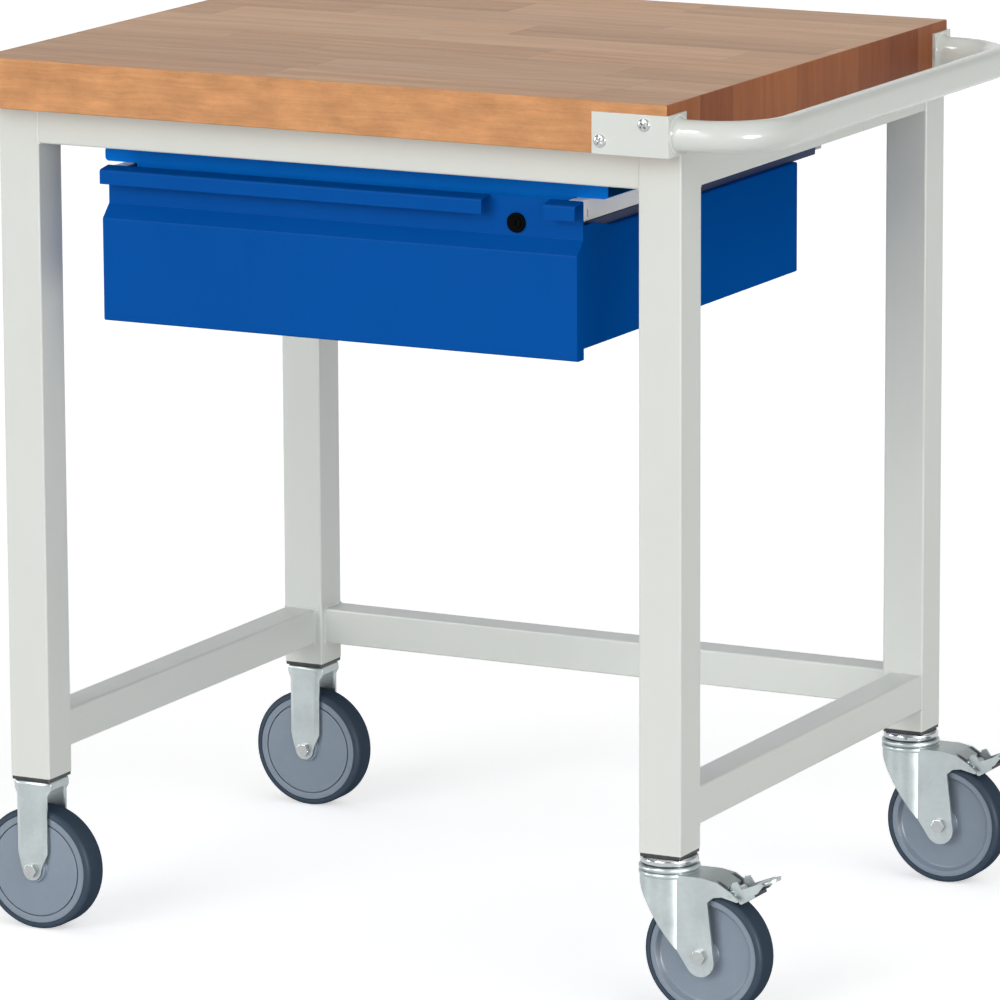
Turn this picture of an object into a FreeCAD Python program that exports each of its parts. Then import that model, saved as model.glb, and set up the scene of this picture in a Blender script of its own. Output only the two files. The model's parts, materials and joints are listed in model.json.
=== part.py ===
import FreeCAD, Part
import math
import os

V = FreeCAD.Vector
AX = V(1, 0, 0)
AY = V(0, 1, 0)
AZ = V(0, 0, 1)

# Overall size of the bench, in mm
bench_height = 890.0
top_length = 750.0
top_depth = 650.0
top_thick = 50.0
top_round = 1.5
side_overhang = 2.0
front_overhang = 35.0

# Legs and rails of square tube
leg_size = 45.0
leg_wall = 2.0
leg_round = 2.5
rail_height = 38.0
rail_depth = 35.0
rail_wall = 2.0
rail_round = 2.5
rail_setback = 1.5
lower_rail_lift = 22.0

# Clearances and the overrun that every cut takes
fit_gap = 0.05
slip_gap = 0.3
overrun = 1.0

# Plastic caps that close the legs and hold the caster stems
caster_rise = 30.0
cap_flange = 3.5
cap_inset = 0.5
cap_plug_gap = 0.2
cap_plug_height = 34.0

# Screws that hold the worktop down
top_screw_r = 3.0
top_screw_head_r = 6.0
top_screw_head_h = 3.5
top_screw_bite = 26.0
top_screw_share = 0.16

# Push handle and its corner brackets
tube_r = 15.0
tube_wall = 2.0
tube_bend_r = 65.0
tube_reach = 85.0
tube_drop = 30.0
bracket_width = 80.0
bracket_side = 37.0
bracket_height = 40.0
bracket_thick = 3.0
bracket_bend_r = 2.0
bracket_screw_r = 2.5
bracket_screw_head_r = 5.8
bracket_screw_head_h = 3.0
bracket_screw_dome = 1.6
bracket_screw_bite = 30.0
bracket_screw_hi = (22.0, 30.5)
bracket_screw_lo = (68.0, 12.5)
cross_width = 1.4
cross_length = 6.4
cross_depth = 1.3

# Drawer front, folded from one sheet; its levels hang below the frame's top
front_side_gap = 113.0
front_bottom_drop = 210.0
front_crease_drop = 108.0
front_recess_drop = 94.5
front_top_drop = 56.5
front_lip_top_drop = 59.0
front_lip_low_drop = 73.5
front_flat_y = 7.0
front_recess_y = 20.0
front_lip_y = 2.0
sheet = 1.5
bend_r = 1.0
lip_notch_ends = (99.5, 33.0)
lip_notch_round = 3.0

# Drawer tray, its sides in line with the ends of the front
tray_rear_gap = 111.0
tray_low_drop = 200.0
tray_high_drop = 88.0
tray_front_drop = 64.0
tray_front_inset = 28.0
tray_flange = 24.0
tray_sheet = 1.2
tray_corner = (24.0, 59.0)
tray_corner_rise = 7.5
tray_bend = 2.0

# Runners on the drawer and the guides they slide in
guide_inset = 5.0
guide_depth = 11.0
guide_low_drop = 79.0
guide_high_drop = 57.0
guide_front = 22.0
guide_rear_gap = 43.0
guide_slot = (16.5, 19.0, 4.0, 12.0)
runner_front = 24.0
runner_rear_gap = 57.0
runner_foot = 9.0
runner_tongue = 8.5
runner_play = 0.5
stop_length = 12.0
stop_drop = 5.0

# Cover over the drawer and the hangers above it
cover_overhang = 16.0
cover_front = 41.0
cover_rear_gap = 70.0
cover_flange = 14.0
cover_corner = 4.0
strike_width = 26.0
strike_drop = 11.0
hanger_side_gap = 110.0
hanger_flange = 22.0
hanger_inset = 6.0
hanger_sheet = 2.0
hanger_screw_share = 0.4
hanger_screw_r = 2.5
hanger_screw_head_r = 5.0
hanger_screw_head_h = 2.6
hanger_screw_bite = 24.0
rivet_r = 2.4
rivet_head_r = 4.2
rivet_head_h = 1.2
guide_rivet_shares = (0.12, 0.5, 0.88)
runner_rivet_shares = (0.2, 0.45, 0.7, 0.95)

# Cam lock in the notch of the drawer lip
lock_end_gap = 70.5
lock_drop = 82.0
lock_flange_r = 9.7
lock_flange_h = 2.5
lock_body_r = 8.0
lock_length = 24.0
lock_plug_r = 5.5
lock_plug_proud = 0.8
lock_plug_tail = 5.5
lock_key_width = 1.2
lock_key_height = 6.0
lock_key_depth = 4.0
lock_stem_r = 3.0
lock_nut_flats = 22.0
lock_nut_h = 4.0
cam_thick = 2.0
cam_half_width = 6.0
cam_reach = 21.0
cam_gap = 0.6

# Wheels
wheel_r = 62.5
tyre_half = 16.0
tyre_round = 7.0
tyre_thick = 10.5
rim_half = 15.0
rim_band = 5.5
rim_groove = 0.8
dish_depth = 5.0
dish_slope = 6.0
hub_r = 13.0
hub_half = 19.4
axle_r = 4.0
axle_head_flats = 13.0
axle_head_h = 5.3
axle_nut_h = 6.0

# Forks
fork_half = 22.5
fork_sheet = 2.5
boss_r = 15.0
boss_drop = 5.0
fixed_half_top = 21.0
fixed_half = 17.0
fixed_flat = 12.5
fixed_fall = 2.4
fixed_shoulder = 9.0
fixed_slope = 6.0
fixed_taper_rise = 17.5
fixed_boss_r = 10.5
fixed_top_round = 4.0
stem_r = 6.0
stem_head_r = 9.5
stem_head_h = 6.5
stem_bite = 28.0

# Swivel head, its levels below the caster's top
trail = 42.5
race_r = 28.5
race_height = 7.8
race_round = 3.0
crown_r = 30.0
crown_high_drop = 8.2
crown_low_drop = 19.0
crown_round = 2.4
fork_top_drop = 15.0

# Trailing fork: outlines from the stem's axis and the wheel's top
nose_r = 29.0
fork_roof = ((-30.0, 15.0), (45.0, 15.5), (60.0, 13.0), (73.0, 5.5))
fork_tail = ((84.0, -3.0), (82.0, -4.5), (66.0, -1.0), (57.0, -2.5), (50.5, -8.0), (57.2, -65.0))
fork_left_top = (-29.5, 11.0)
roof_end = 69.0
roof_notch_start = 58.0
roof_notch_width = 6.0

# Brake pedal: outlines of its walls, tread, shoe and spoon, from the same axis and level
pin_r = 2.0
pin_place = (74.0, 0.6)
pedal_half = 18.0
pedal_hub_r = 4.0
pedal_wall_half = 15.5
pedal_sheet = 2.5
pedal_wall = ((72.0, 3.0), (73.5, 12.5), (78.5, 14.0), (83.5, 7.0), (104.5, 15.5), (106.0, 13.0),
              (99.5, 4.5), (82.0, -5.0), (76.0, -3.5))
pedal_tread = ((80.0, 1.0), (103.0, 13.5), (104.0, 11.2), (81.0, -1.5))
pedal_shoe = ((79.0, -3.0), (80.0, -7.6), (82.5, -8.3), (97.0, 0.5), (96.0, 3.5))
pedal_spoon = ((99.0, 9.2), (99.0, 12.6), (116.2, 19.8), (117.0, 16.6))
spoon_half = 11.0

# Frame and handle sizes that follow from the ones above
frame_width = top_length - side_overhang * 2
frame_depth = top_depth - front_overhang
frame_top = bench_height - top_thick
mid_x = frame_width / 2
top_right = frame_width + side_overhang
upper_rail_low = frame_top - rail_height
tube_x = top_right + tube_reach
tube_z = bench_height - tube_drop
tube_front_y = -front_overhang + bracket_side / 2
tube_rear_y = frame_depth - bracket_side / 2
bracket_low = frame_top
leg_mid = leg_size / 2
leg_xs = (leg_mid, frame_width - leg_mid)
leg_ys = (leg_mid, frame_depth - leg_mid)

# Levels and ends of the drawer and what carries it
front_width = frame_width - front_side_gap * 2
front_half = front_width / 2
front_bottom = frame_top - front_bottom_drop
front_crease = frame_top - front_crease_drop
front_recess_low = frame_top - front_recess_drop
front_top = frame_top - front_top_drop
front_lip_top = frame_top - front_lip_top_drop
front_lip_low = frame_top - front_lip_low_drop
tray_half = front_half
tray_front = front_recess_y + sheet
tray_rear = frame_depth - tray_rear_gap
tray_low = frame_top - tray_low_drop
tray_high = frame_top - tray_high_drop
tray_front_high = frame_top - tray_front_drop
guide_out = front_half - guide_inset
guide_in = guide_out - guide_depth
guide_low = frame_top - guide_low_drop
guide_high = frame_top - guide_high_drop
guide_rear = frame_depth - guide_rear_gap
runner_in = guide_in - runner_play
runner_rear = frame_depth - runner_rear_gap
runner_high = guide_high - sheet - slip_gap
runner_shelf = guide_low - slip_gap
tongue_low = guide_low + sheet + slip_gap
cover_width = front_width + cover_overhang * 2
cover_rear = frame_depth - cover_rear_gap
cover_low = guide_high
cover_floor = cover_low + sheet
hanger_width = front_width - hanger_side_gap * 2
lock_x = mid_x + front_half - lock_end_gap
lock_z = frame_top - lock_drop
lock_rear = front_recess_y + lock_length

# Levels of the casters
wheel_top = wheel_r * 2
rim_r = wheel_r - tyre_thick
caster_height = wheel_top + caster_rise
leg_low = caster_height + cap_flange
lower_rail_low = leg_low + lower_rail_lift
fixed_taper_z = wheel_r + fixed_taper_rise
race_low = caster_height - race_height
crown_high = caster_height - crown_high_drop
crown_low = caster_height - crown_low_drop
fork_top = caster_height - fork_top_drop
roof_points = [(u, wheel_top + rise) for u, rise in fork_roof]
tail_points = [(u, wheel_top + rise) for u, rise in fork_tail]
fork_corner = (fork_left_top[0], wheel_top + fork_left_top[1])
pin_at = (pin_place[0], wheel_top + pin_place[1])
pedal_tip = pedal_spoon[-1][0]

# The row origin: middle of the bench's box, on the floor
low_x = leg_mid - wheel_r
high_x = max(tube_x + tube_r, leg_xs[1] + pedal_tip)
low_y = -front_overhang - bracket_thick - bracket_screw_head_h
high_y = max(frame_depth + bracket_thick + bracket_screw_head_h, leg_ys[1] + crown_r)
SHIFT = V(-(low_x + high_x) / 2, -(low_y + high_y) / 2, 0)


# Plain shapes
def box(x0, x1, y0, y1, z0, z1):
    return Part.makeBox(x1 - x0, y1 - y0, z1 - z0, V(x0, y0, z0))


def rod(start, axis, radius, length):
    return Part.makeCylinder(radius, length, start, axis)


def edges_along(shape, axis):
    picked = []
    for edge in shape.Edges:
        span = edge.Vertexes[-1].Point - edge.Vertexes[0].Point
        if span.Length > fit_gap and span.cross(axis).Length < fit_gap:
            picked.append(edge)
    return picked


def round_bar(x0, x1, y0, y1, z0, z1, axis, radius):
    bar = box(x0, x1, y0, y1, z0, z1)
    return bar.makeFillet(radius, edges_along(bar, axis))


def square_tube(x0, x1, y0, y1, z0, z1, axis, radius, wall):
    outer = round_bar(x0, x1, y0, y1, z0, z1, axis, radius)
    ends = [overrun if axis[i] else -wall for i in range(len(axis))]
    inner = round_bar(x0 - ends[0], x1 + ends[0], y0 - ends[1], y1 + ends[1],
                      z0 - ends[2], z1 + ends[2], axis, radius - wall)
    return outer.cut(inner)


def prism(points, along):
    face = Part.Face(Part.makePolygon(points + [points[0]]))
    return face.extrude(along)


def ring_edges(shape, radius):
    rings = [e for e in shape.Edges if isinstance(e.Curve, Part.Circle)]
    return [e for e in rings if abs(e.Curve.Radius - radius) < fit_gap]


def hexagon(centre, axis, flats, height):
    corner = flats / 2 / math.cos(math.pi / 6)
    side = AX if abs(axis.dot(AX)) < fit_gap else AZ
    other = axis.cross(side)
    points = []
    for k in range(6):
        turn = k * math.pi / 3
        points.append(centre + side * (corner * math.cos(turn)) + other * (corner * math.sin(turn)))
    return prism(points, axis * height)


def one(shapes):
    body = shapes[0].multiFuse(shapes[1:]) if len(shapes) > 1 else shapes[0]
    return body.removeSplitter()


# Two runs of points, one the sheet's thickness to the right of the other
def sheet_outline(path, thick):
    normals = []
    for a, b in zip(path, path[1:]):
        run = math.hypot(b[0] - a[0], b[1] - a[1])
        normals.append(((b[1] - a[1]) / run, -(b[0] - a[0]) / run))
    offset = []
    for i, p in enumerate(path):
        n0 = normals[max(i - 1, 0)]
        n1 = normals[min(i, len(normals) - 1)]
        scale = thick / (1 + n0[0] * n1[0] + n0[1] * n1[1])
        offset.append((p[0] + (n0[0] + n1[0]) * scale, p[1] + (n0[1] + n1[1]) * scale))
    return offset


# A sheet folded along the x axis, its bends rounded
def folded(path, thick, x0, x1):
    other = sheet_outline(path, thick)
    points = [V(x0, y, z) for y, z in path + other[::-1]]
    body = prism(points, AX * (x1 - x0))
    tight = []
    wide = []
    for i in range(1, len(path) - 1):
        ax, ay = path[i][0] - path[i - 1][0], path[i][1] - path[i - 1][1]
        bx, by = path[i + 1][0] - path[i][0], path[i + 1][1] - path[i][1]
        left_turn = ax * by - ay * bx > 0
        tight.append(path[i] if left_turn else other[i])
        wide.append(other[i] if left_turn else path[i])
    for corners, radius in ((tight, bend_r), (wide, bend_r + thick)):
        picked = []
        for edge in edges_along(body, AX):
            at = edge.Vertexes[0].Point
            if any(math.hypot(at.y - c[0], at.z - c[1]) < fit_gap for c in corners):
                picked.append(edge)
        body = body.makeFillet(radius, picked)
    return body


# Screw whose head bears on a face at `at`; `into` points the way the shank goes
def screw(at, into, head_r, head_h, shank_r, shank_length):
    head = rod(at - into * head_h, into, head_r, head_h)
    return one([head, rod(at, into, shank_r, shank_length)])


# Frame
def leg(x, y):
    return square_tube(x - leg_mid, x + leg_mid, y - leg_mid, y + leg_mid, leg_low, frame_top, AZ,
                       leg_round, leg_wall)


def top_screw_spots():
    spots = []
    front_y = rail_setback + rail_depth / 2
    for share in (top_screw_share, 1 - top_screw_share):
        x = frame_width * share
        spots += [(x, front_y), (x, frame_depth - front_y)]
    side_x = rail_setback + rail_depth / 2
    spots += [(side_x, frame_depth / 2), (frame_width - side_x, frame_depth / 2)]
    return spots


# Their heads bear on the inside of the rails' upper walls
def top_screws():
    at = frame_top - rail_wall
    length = rail_wall + top_screw_bite
    made = [screw(V(x, y, at), AZ, top_screw_head_r, top_screw_head_h, top_screw_r, length)
            for x, y in top_screw_spots()]
    return Part.makeCompound(made)


def top_screw_holes(low, high):
    return [rod(V(x, y, low), AZ, top_screw_r + fit_gap, high - low) for x, y in top_screw_spots()]


def rail_across(y, z):
    return square_tube(leg_size, frame_width - leg_size, y, y + rail_depth, z, z + rail_height, AX,
                       rail_round, rail_wall)


def rail_along(x, z):
    return square_tube(x, x + rail_depth, leg_size, frame_depth - leg_size, z, z + rail_height, AY,
                       rail_round, rail_wall)


# Each screw goes in through a wider hole in the rail's lower wall
def upper_rail(rail):
    holes = top_screw_holes(frame_top - rail_wall - overrun, frame_top + overrun)
    wide = top_screw_head_r + overrun
    deep = rail_wall + overrun * 2
    for x, y in top_screw_spots():
        holes.append(rod(V(x, y, upper_rail_low - overrun), AZ, wide, deep))
    return rail.cut(Part.makeCompound(holes))


def foot_cap(x, y):
    half = leg_mid - cap_inset
    flange = round_bar(x - half, x + half, y - half, y + half, caster_height, leg_low, AZ, leg_round)
    half = leg_mid - leg_wall - cap_plug_gap
    plug = round_bar(x - half, x + half, y - half, y + half, leg_low, leg_low + cap_plug_height, AZ,
                     leg_round - leg_wall)
    stem = rod(V(x, y, caster_height - overrun), AZ, stem_r + fit_gap, cap_flange + stem_bite + overrun * 2)
    return one([flange, plug]).cut(stem)


def foot_caps():
    return Part.makeCompound([foot_cap(x, y) for x in leg_xs for y in leg_ys])


# Worktop
def worktop():
    slab = box(-side_overhang, top_right, -front_overhang, frame_depth, frame_top, bench_height)
    slab = slab.makeFillet(top_round, slab.Edges)
    holes = top_screw_holes(frame_top - overrun, frame_top + top_screw_bite + overrun)
    for at, into in bracket_screw_spots():
        holes.append(rod(at, into, bracket_screw_r + fit_gap, bracket_thick + bracket_screw_bite + overrun))
    deep = hanger_screw_bite + overrun * 2
    for x, y in hanger_screw_spots():
        holes.append(rod(V(x, y, frame_top - overrun), AZ, hanger_screw_r + fit_gap, deep))
    return slab.cut(Part.makeCompound(holes))


# Push handle
def handle_tube():
    x0 = top_right + bracket_thick
    bend_x = tube_x - tube_bend_r
    y0, y1 = tube_front_y, tube_rear_y
    mid = tube_bend_r / math.sqrt(2)
    a = V(x0, y0, tube_z)
    b = V(bend_x, y0, tube_z)
    c = V(tube_x, y0 + tube_bend_r, tube_z)
    d = V(tube_x, y1 - tube_bend_r, tube_z)
    e = V(bend_x, y1, tube_z)
    f = V(x0, y1, tube_z)
    near = Part.Arc(b, V(bend_x + mid, y0 + tube_bend_r - mid, tube_z), c)
    far = Part.Arc(d, V(bend_x + mid, y1 - tube_bend_r + mid, tube_z), e)
    runs = [Part.makeLine(p, q) for p, q in ((a, b), (c, d), (e, f))]
    path = Part.Wire([runs[0], near.toShape(), runs[1], far.toShape(), runs[2]])
    rings = [Part.Wire(Part.Circle(a, AX, r).toShape()) for r in (tube_r, tube_r - tube_wall)]
    outer, inner = [path.makePipeShell([ring], True, False) for ring in rings]
    return outer.cut(inner)


# The two screw places of each bracket plate, on its outer face, with the way in
def bracket_screw_spots():
    spots = []
    for y, into in ((-front_overhang - bracket_thick, AY), (frame_depth + bracket_thick, -AY)):
        for from_corner, up in (bracket_screw_hi, bracket_screw_lo):
            spots.append((V(top_right - from_corner, y, bracket_low + up), into))
    return spots


def bracket_screw(at, into):
    head = rod(at - into * bracket_screw_head_h, into, bracket_screw_head_r, bracket_screw_head_h)
    far = at - into * bracket_screw_head_h
    rim = [e for e in head.Edges if e.CenterOfMass.distanceToPoint(far) < fit_gap]
    head = head.makeFillet(bracket_screw_dome, rim)
    low, high = sorted((far.y, far.y + into.y * cross_depth))
    for half_x, half_z in ((cross_width / 2, cross_length / 2), (cross_length / 2, cross_width / 2)):
        head = head.cut(box(at.x - half_x, at.x + half_x, low, high, at.z - half_z, at.z + half_z))
    return one([head, rod(at, into, bracket_screw_r, bracket_thick + bracket_screw_bite)])


def bracket_screws():
    return Part.makeCompound([bracket_screw(at, into) for at, into in bracket_screw_spots()])


def handle_bracket(is_rear):
    x1 = top_right + bracket_thick
    x0 = x1 - bracket_width
    face = frame_depth if is_rear else -front_overhang
    out = bracket_thick if is_rear else -bracket_thick
    back = -bracket_side if is_rear else bracket_side
    z0, z1 = bracket_low, bracket_low + bracket_height
    plate = box(x0, x1, min(face, face + out), max(face, face + out), z0, z1)
    side = box(top_right, x1, min(face, face + back), max(face, face + back), z0, z1)
    angle = one([plate, side])
    corner = V(x1, face + out, (z0 + z1) / 2)
    bend = [e for e in angle.Edges if e.CenterOfMass.distanceToPoint(corner) < fit_gap]
    angle = angle.makeFillet(bracket_bend_r, bend)
    holes = [rod(at - into * overrun, into, bracket_screw_r + fit_gap, bracket_thick + overrun * 2)
             for at, into in bracket_screw_spots()]
    return angle.cut(Part.makeCompound(holes))


# Drawer
def drawer_front():
    x0 = mid_x - front_half
    x1 = mid_x + front_half
    path = [(tray_front, front_bottom), (front_flat_y, front_bottom), (front_flat_y, front_crease),
            (front_recess_y, front_recess_low), (front_recess_y, front_top - sheet),
            (front_lip_y + sheet, front_lip_top - sheet), (front_lip_y + sheet, front_lip_low)]
    body = folded(path, sheet, x0, x1)
    inner = sheet_outline(path, sheet)[:4]
    end = [(tray_front, inner[0][1]), inner[1], inner[2], (tray_front, inner[3][1])]
    parts = [body]
    for x in (x0, x1 - sheet):
        parts.append(prism([V(x, y, z) for y, z in end], AX * sheet))
    body = one(parts)
    near = front_lip_y - overrun
    notch = round_bar(x1 - lip_notch_ends[0], x1 - lip_notch_ends[1], near, front_recess_y - fit_gap,
                      front_recess_low, front_top + overrun, AY, lip_notch_round)
    hole = rod(V(lock_x, front_recess_y - overrun, lock_z), AY, lock_body_r + fit_gap, sheet + overrun * 2)
    return body.cut(notch).cut(hole)


# An open box with inward flanges, raised corners at the front and a higher front wall
def drawer_tray():
    x0 = mid_x - tray_half
    x1 = mid_x + tray_half
    y0 = tray_front + tray_sheet
    y1 = tray_rear - tray_sheet
    floor = tray_low + tray_sheet
    outer = round_bar(x0, x1, tray_front, tray_rear, tray_low, tray_high, AY, tray_bend)
    inner = box(x0 + tray_sheet, x1 - tray_sheet, y0, y1, floor, tray_high - tray_sheet)
    mouth = box(x0 + tray_flange, x1 - tray_flange, y0, y1, floor, tray_high + overrun)
    wall = box(x0 + tray_front_inset, x1 - tray_front_inset, tray_front, y0, tray_high, tray_front_high)
    parts = [outer.cut(inner).cut(mouth), wall]
    rise = tray_high + tray_corner_rise
    foot = tray_high - tray_bend
    corner = [(0, foot), (0, rise), (tray_corner[0], rise), (tray_corner[1], tray_high),
              (tray_corner[1], foot)]
    for x in (x0, x1 - tray_sheet):
        parts.append(prism([V(x, tray_front + y, z) for y, z in corner], AX * tray_sheet))
    deep = tray_sheet + overrun * 2
    holes = [rod(V(lock_x, tray_front - overrun, lock_z), AY, lock_body_r + fit_gap, deep)]
    for x, y in runner_rivet_spots():
        holes.append(rod(V(x, y, tray_high - tray_sheet - overrun), AZ, rivet_r + fit_gap, deep))
    return one(parts).cut(Part.makeCompound(holes))


def runner_rivet_spots():
    x = guide_out - runner_foot / 2 - sheet / 2
    ys = [tray_front + (tray_rear - tray_front) * share for share in runner_rivet_shares]
    return [(mid_x + s * x, y) for s in (-1, 1) for y in ys]


# A profile drawn on the right-hand side of the drawer, or its mirror on the left
def on_side(points, y0, y1, s):
    return prism([V(mid_x + s * x, y0, z) for x, z in points], AY * (y1 - y0))


# A hat under the guide, then a web with two tongues that run inside it
def drawer_runner(s):
    tip = runner_in + runner_tongue
    web = runner_in - sheet
    skirt = guide_out - sheet
    foot = guide_out - runner_foot
    low, shelf = tray_high, runner_shelf
    points = [(foot, low), (guide_out, low), (guide_out, shelf), (runner_in, shelf), (runner_in, tongue_low),
              (tip, tongue_low), (tip, tongue_low + sheet), (runner_in, tongue_low + sheet),
              (runner_in, runner_high - sheet), (tip, runner_high - sheet), (tip, runner_high),
              (web, runner_high), (web, shelf - sheet), (skirt, shelf - sheet), (skirt, low + sheet),
              (foot, low + sheet)]
    body = on_side(points, runner_front, runner_rear, s)
    deep = sheet + overrun * 2
    holes = [rod(V(x, y, low - overrun), AZ, rivet_r + fit_gap, deep) for x, y in runner_rivet_spots()]
    return body.cut(Part.makeCompound(holes))


def runner_rivets():
    made = []
    grip = tray_sheet + sheet
    for x, y in runner_rivet_spots():
        at = V(x, y, tray_high - tray_sheet)
        head = rod(at - AZ * rivet_head_h, AZ, rivet_head_r, rivet_head_h)
        tail = rod(at + AZ * grip, AZ, rivet_r + sheet / 2, rivet_head_h)
        made.append(one([head, rod(at, AZ, rivet_r, grip), tail]))
    return Part.makeCompound(made)


# Guides, cover and hangers
def guide_rail(s):
    web = guide_out - sheet
    points = [(guide_in, guide_low), (guide_out, guide_low), (guide_out, guide_high), (guide_in, guide_high),
              (guide_in, guide_high - sheet), (web, guide_high - sheet), (web, guide_low + sheet),
              (guide_in, guide_low + sheet)]
    body = on_side(points, guide_front, guide_rear, s)
    outer = [e for e in edges_along(body, AY) if abs(abs(e.Vertexes[0].X - mid_x) - guide_out) < fit_gap]
    body = body.makeFillet(sheet, outer)
    y0, y1, z0, z1 = guide_slot
    xs = sorted((mid_x + s * (web - overrun), mid_x + s * (guide_out + overrun)))
    slot = box(xs[0], xs[1], guide_front + y0, guide_front + y1, guide_low + z0, guide_low + z1)
    return body.cut(slot).cut(Part.makeCompound(guide_rivet_holes()))


# A plug in the guide's rear end, with a foot below that stops the runner
def guide_stop(s):
    top = guide_high - sheet - fit_gap
    shelf = guide_low + sheet
    web = guide_out - sheet - fit_gap
    foot = guide_low - stop_drop
    y0 = guide_rear - stop_length
    tail = guide_rear + sheet
    plug = on_side([(guide_in, shelf), (web, shelf), (web, top), (guide_in, top)], y0, tail, s)
    below = [(guide_in, foot), (guide_out, foot), (guide_out, guide_low), (guide_in, guide_low)]
    nose = on_side(below, y0, tail, s)
    behind = [(guide_in, foot), (guide_out, foot), (guide_out, top), (guide_in, top)]
    link = on_side(behind, guide_rear, tail, s)
    return one([plug, nose, link])


def guide_stops():
    return Part.makeCompound([guide_stop(s) for s in (-1, 1)])


def guide_rivet_spots():
    x = guide_in + guide_depth / 2
    span = cover_rear - cover_front
    return [(mid_x + s * x, cover_front + span * share) for s in (-1, 1) for share in guide_rivet_shares]


def guide_rivet_holes():
    low = guide_high - sheet - overrun
    deep = sheet * 2 + overrun * 2
    return [rod(V(x, y, low), AZ, rivet_r + fit_gap, deep) for x, y in guide_rivet_spots()]


# The two hangers stand on the cover and reach the underside of the worktop
def hanger_feet():
    front = cover_front + sheet + hanger_inset
    rear = cover_rear - sheet - hanger_inset
    return ((front, 1), (rear, -1))


# A Z section between the cover's floor and the worktop
def hanger(y, s):
    web = y + s * hanger_flange
    back = web + s * hanger_sheet
    end = web + s * hanger_flange
    foot = cover_floor + hanger_sheet
    head = frame_top - hanger_sheet
    section = [(y, cover_floor), (back, cover_floor), (back, head), (end, head), (end, frame_top),
               (web, frame_top), (web, foot), (y, foot)]
    body = prism([V(mid_x - hanger_width / 2, py, pz) for py, pz in section], AX * hanger_width)
    return body.cut(Part.makeCompound(hanger_screw_holes() + hanger_rivet_holes()))


def hanger_xs():
    return (mid_x - hanger_width * hanger_screw_share, mid_x + hanger_width * hanger_screw_share)


def hanger_screw_spots():
    set_back = hanger_flange + hanger_flange / 2
    return [(x, y + s * set_back) for y, s in hanger_feet() for x in hanger_xs()]


def hanger_rivet_spots():
    return [(x, y + s * hanger_flange / 2) for y, s in hanger_feet() for x in hanger_xs()]


def hanger_screw_holes():
    low = frame_top - hanger_sheet - overrun
    deep = hanger_sheet + overrun * 2
    return [rod(V(x, y, low), AZ, hanger_screw_r + fit_gap, deep) for x, y in hanger_screw_spots()]


def hanger_rivet_holes():
    low = cover_low - overrun
    high = cover_floor + hanger_sheet + overrun
    return [rod(V(x, y, low), AZ, rivet_r + fit_gap, high - low) for x, y in hanger_rivet_spots()]


def hanger_screws():
    made = []
    for x, y in hanger_screw_spots():
        at = V(x, y, frame_top - hanger_sheet)
        made.append(screw(at, AZ, hanger_screw_head_r, hanger_screw_head_h, hanger_screw_r,
                          hanger_sheet + hanger_screw_bite))
    return Part.makeCompound(made)


# Flush below, so that the drawer's runners pass under them
def cover_rivets():
    made = []
    for x, y in guide_rivet_spots():
        made.append(screw(V(x, y, cover_floor), -AZ, rivet_head_r, rivet_head_h, rivet_r, sheet * 2))
    for x, y in hanger_rivet_spots():
        made.append(screw(V(x, y, cover_floor + hanger_sheet), -AZ, rivet_head_r, rivet_head_h, rivet_r,
                          hanger_sheet + sheet))
    return Part.makeCompound(made)


# A shallow tray: floor, turned-up front and rear flanges, and a tab down for the lock's cam
def drawer_cover():
    x0 = mid_x - cover_width / 2
    x1 = mid_x + cover_width / 2
    high = cover_low + cover_flange
    block = round_bar(x0, x1, cover_front, cover_rear, cover_low, high, AY, cover_corner)
    space = box(x0, x1, cover_front + sheet, cover_rear - sheet, cover_floor, high)
    strike = box(lock_x - strike_width / 2, lock_x + strike_width / 2, cover_front, cover_front + sheet,
                 cover_low - strike_drop, cover_low)
    body = one([block.cut(space), strike])
    return body.cut(Part.makeCompound(guide_rivet_holes() + hanger_rivet_holes()))


# Lock
def lock_body():
    y = front_recess_y
    flange = rod(V(lock_x, y - lock_flange_h, lock_z), AY, lock_flange_r, lock_flange_h)
    barrel = rod(V(lock_x, y, lock_z), AY, lock_body_r, lock_length)
    bore = rod(V(lock_x, y - lock_flange_h - overrun, lock_z), AY, lock_plug_r + fit_gap,
               lock_flange_h + lock_length + overrun * 2)
    return one([flange, barrel]).cut(bore)


def lock_plug():
    y = front_recess_y - lock_flange_h - lock_plug_proud
    plug = rod(V(lock_x, y, lock_z), AY, lock_plug_r, lock_rear - y)
    stem = rod(V(lock_x, lock_rear, lock_z), AY, lock_stem_r, lock_plug_tail)
    key = box(lock_x - lock_key_width / 2, lock_x + lock_key_width / 2, y - overrun, y + lock_key_depth,
              lock_z - lock_key_height / 2, lock_z + lock_key_height / 2)
    return one([plug, stem]).cut(key)


def lock_nut():
    start = V(lock_x, tray_front + tray_sheet, lock_z)
    hole = rod(start - AY * overrun, AY, lock_body_r + fit_gap, lock_nut_h + overrun * 2)
    return hexagon(start, AY, lock_nut_flats, lock_nut_h).cut(hole)


# At rest the cam lies sideways, clear of the strike
def lock_cam():
    y = lock_rear + cam_gap
    arm = box(lock_x - cam_reach, lock_x, y, y + cam_thick, lock_z - cam_half_width, lock_z + cam_half_width)
    eye = rod(V(lock_x, y, lock_z), AY, cam_half_width, cam_thick)
    hole = rod(V(lock_x, y - overrun, lock_z), AY, lock_stem_r + fit_gap, cam_thick + overrun * 2)
    return one([arm, eye]).cut(hole)


# Wheels, turned about the y axis
def turned(points, x, y, z):
    face = Part.Face(Part.makePolygon([V(x + r, y + w, z) for r, w in points + [points[0]]]))
    return face.revolve(V(x, y, z), AY, 360)


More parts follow.
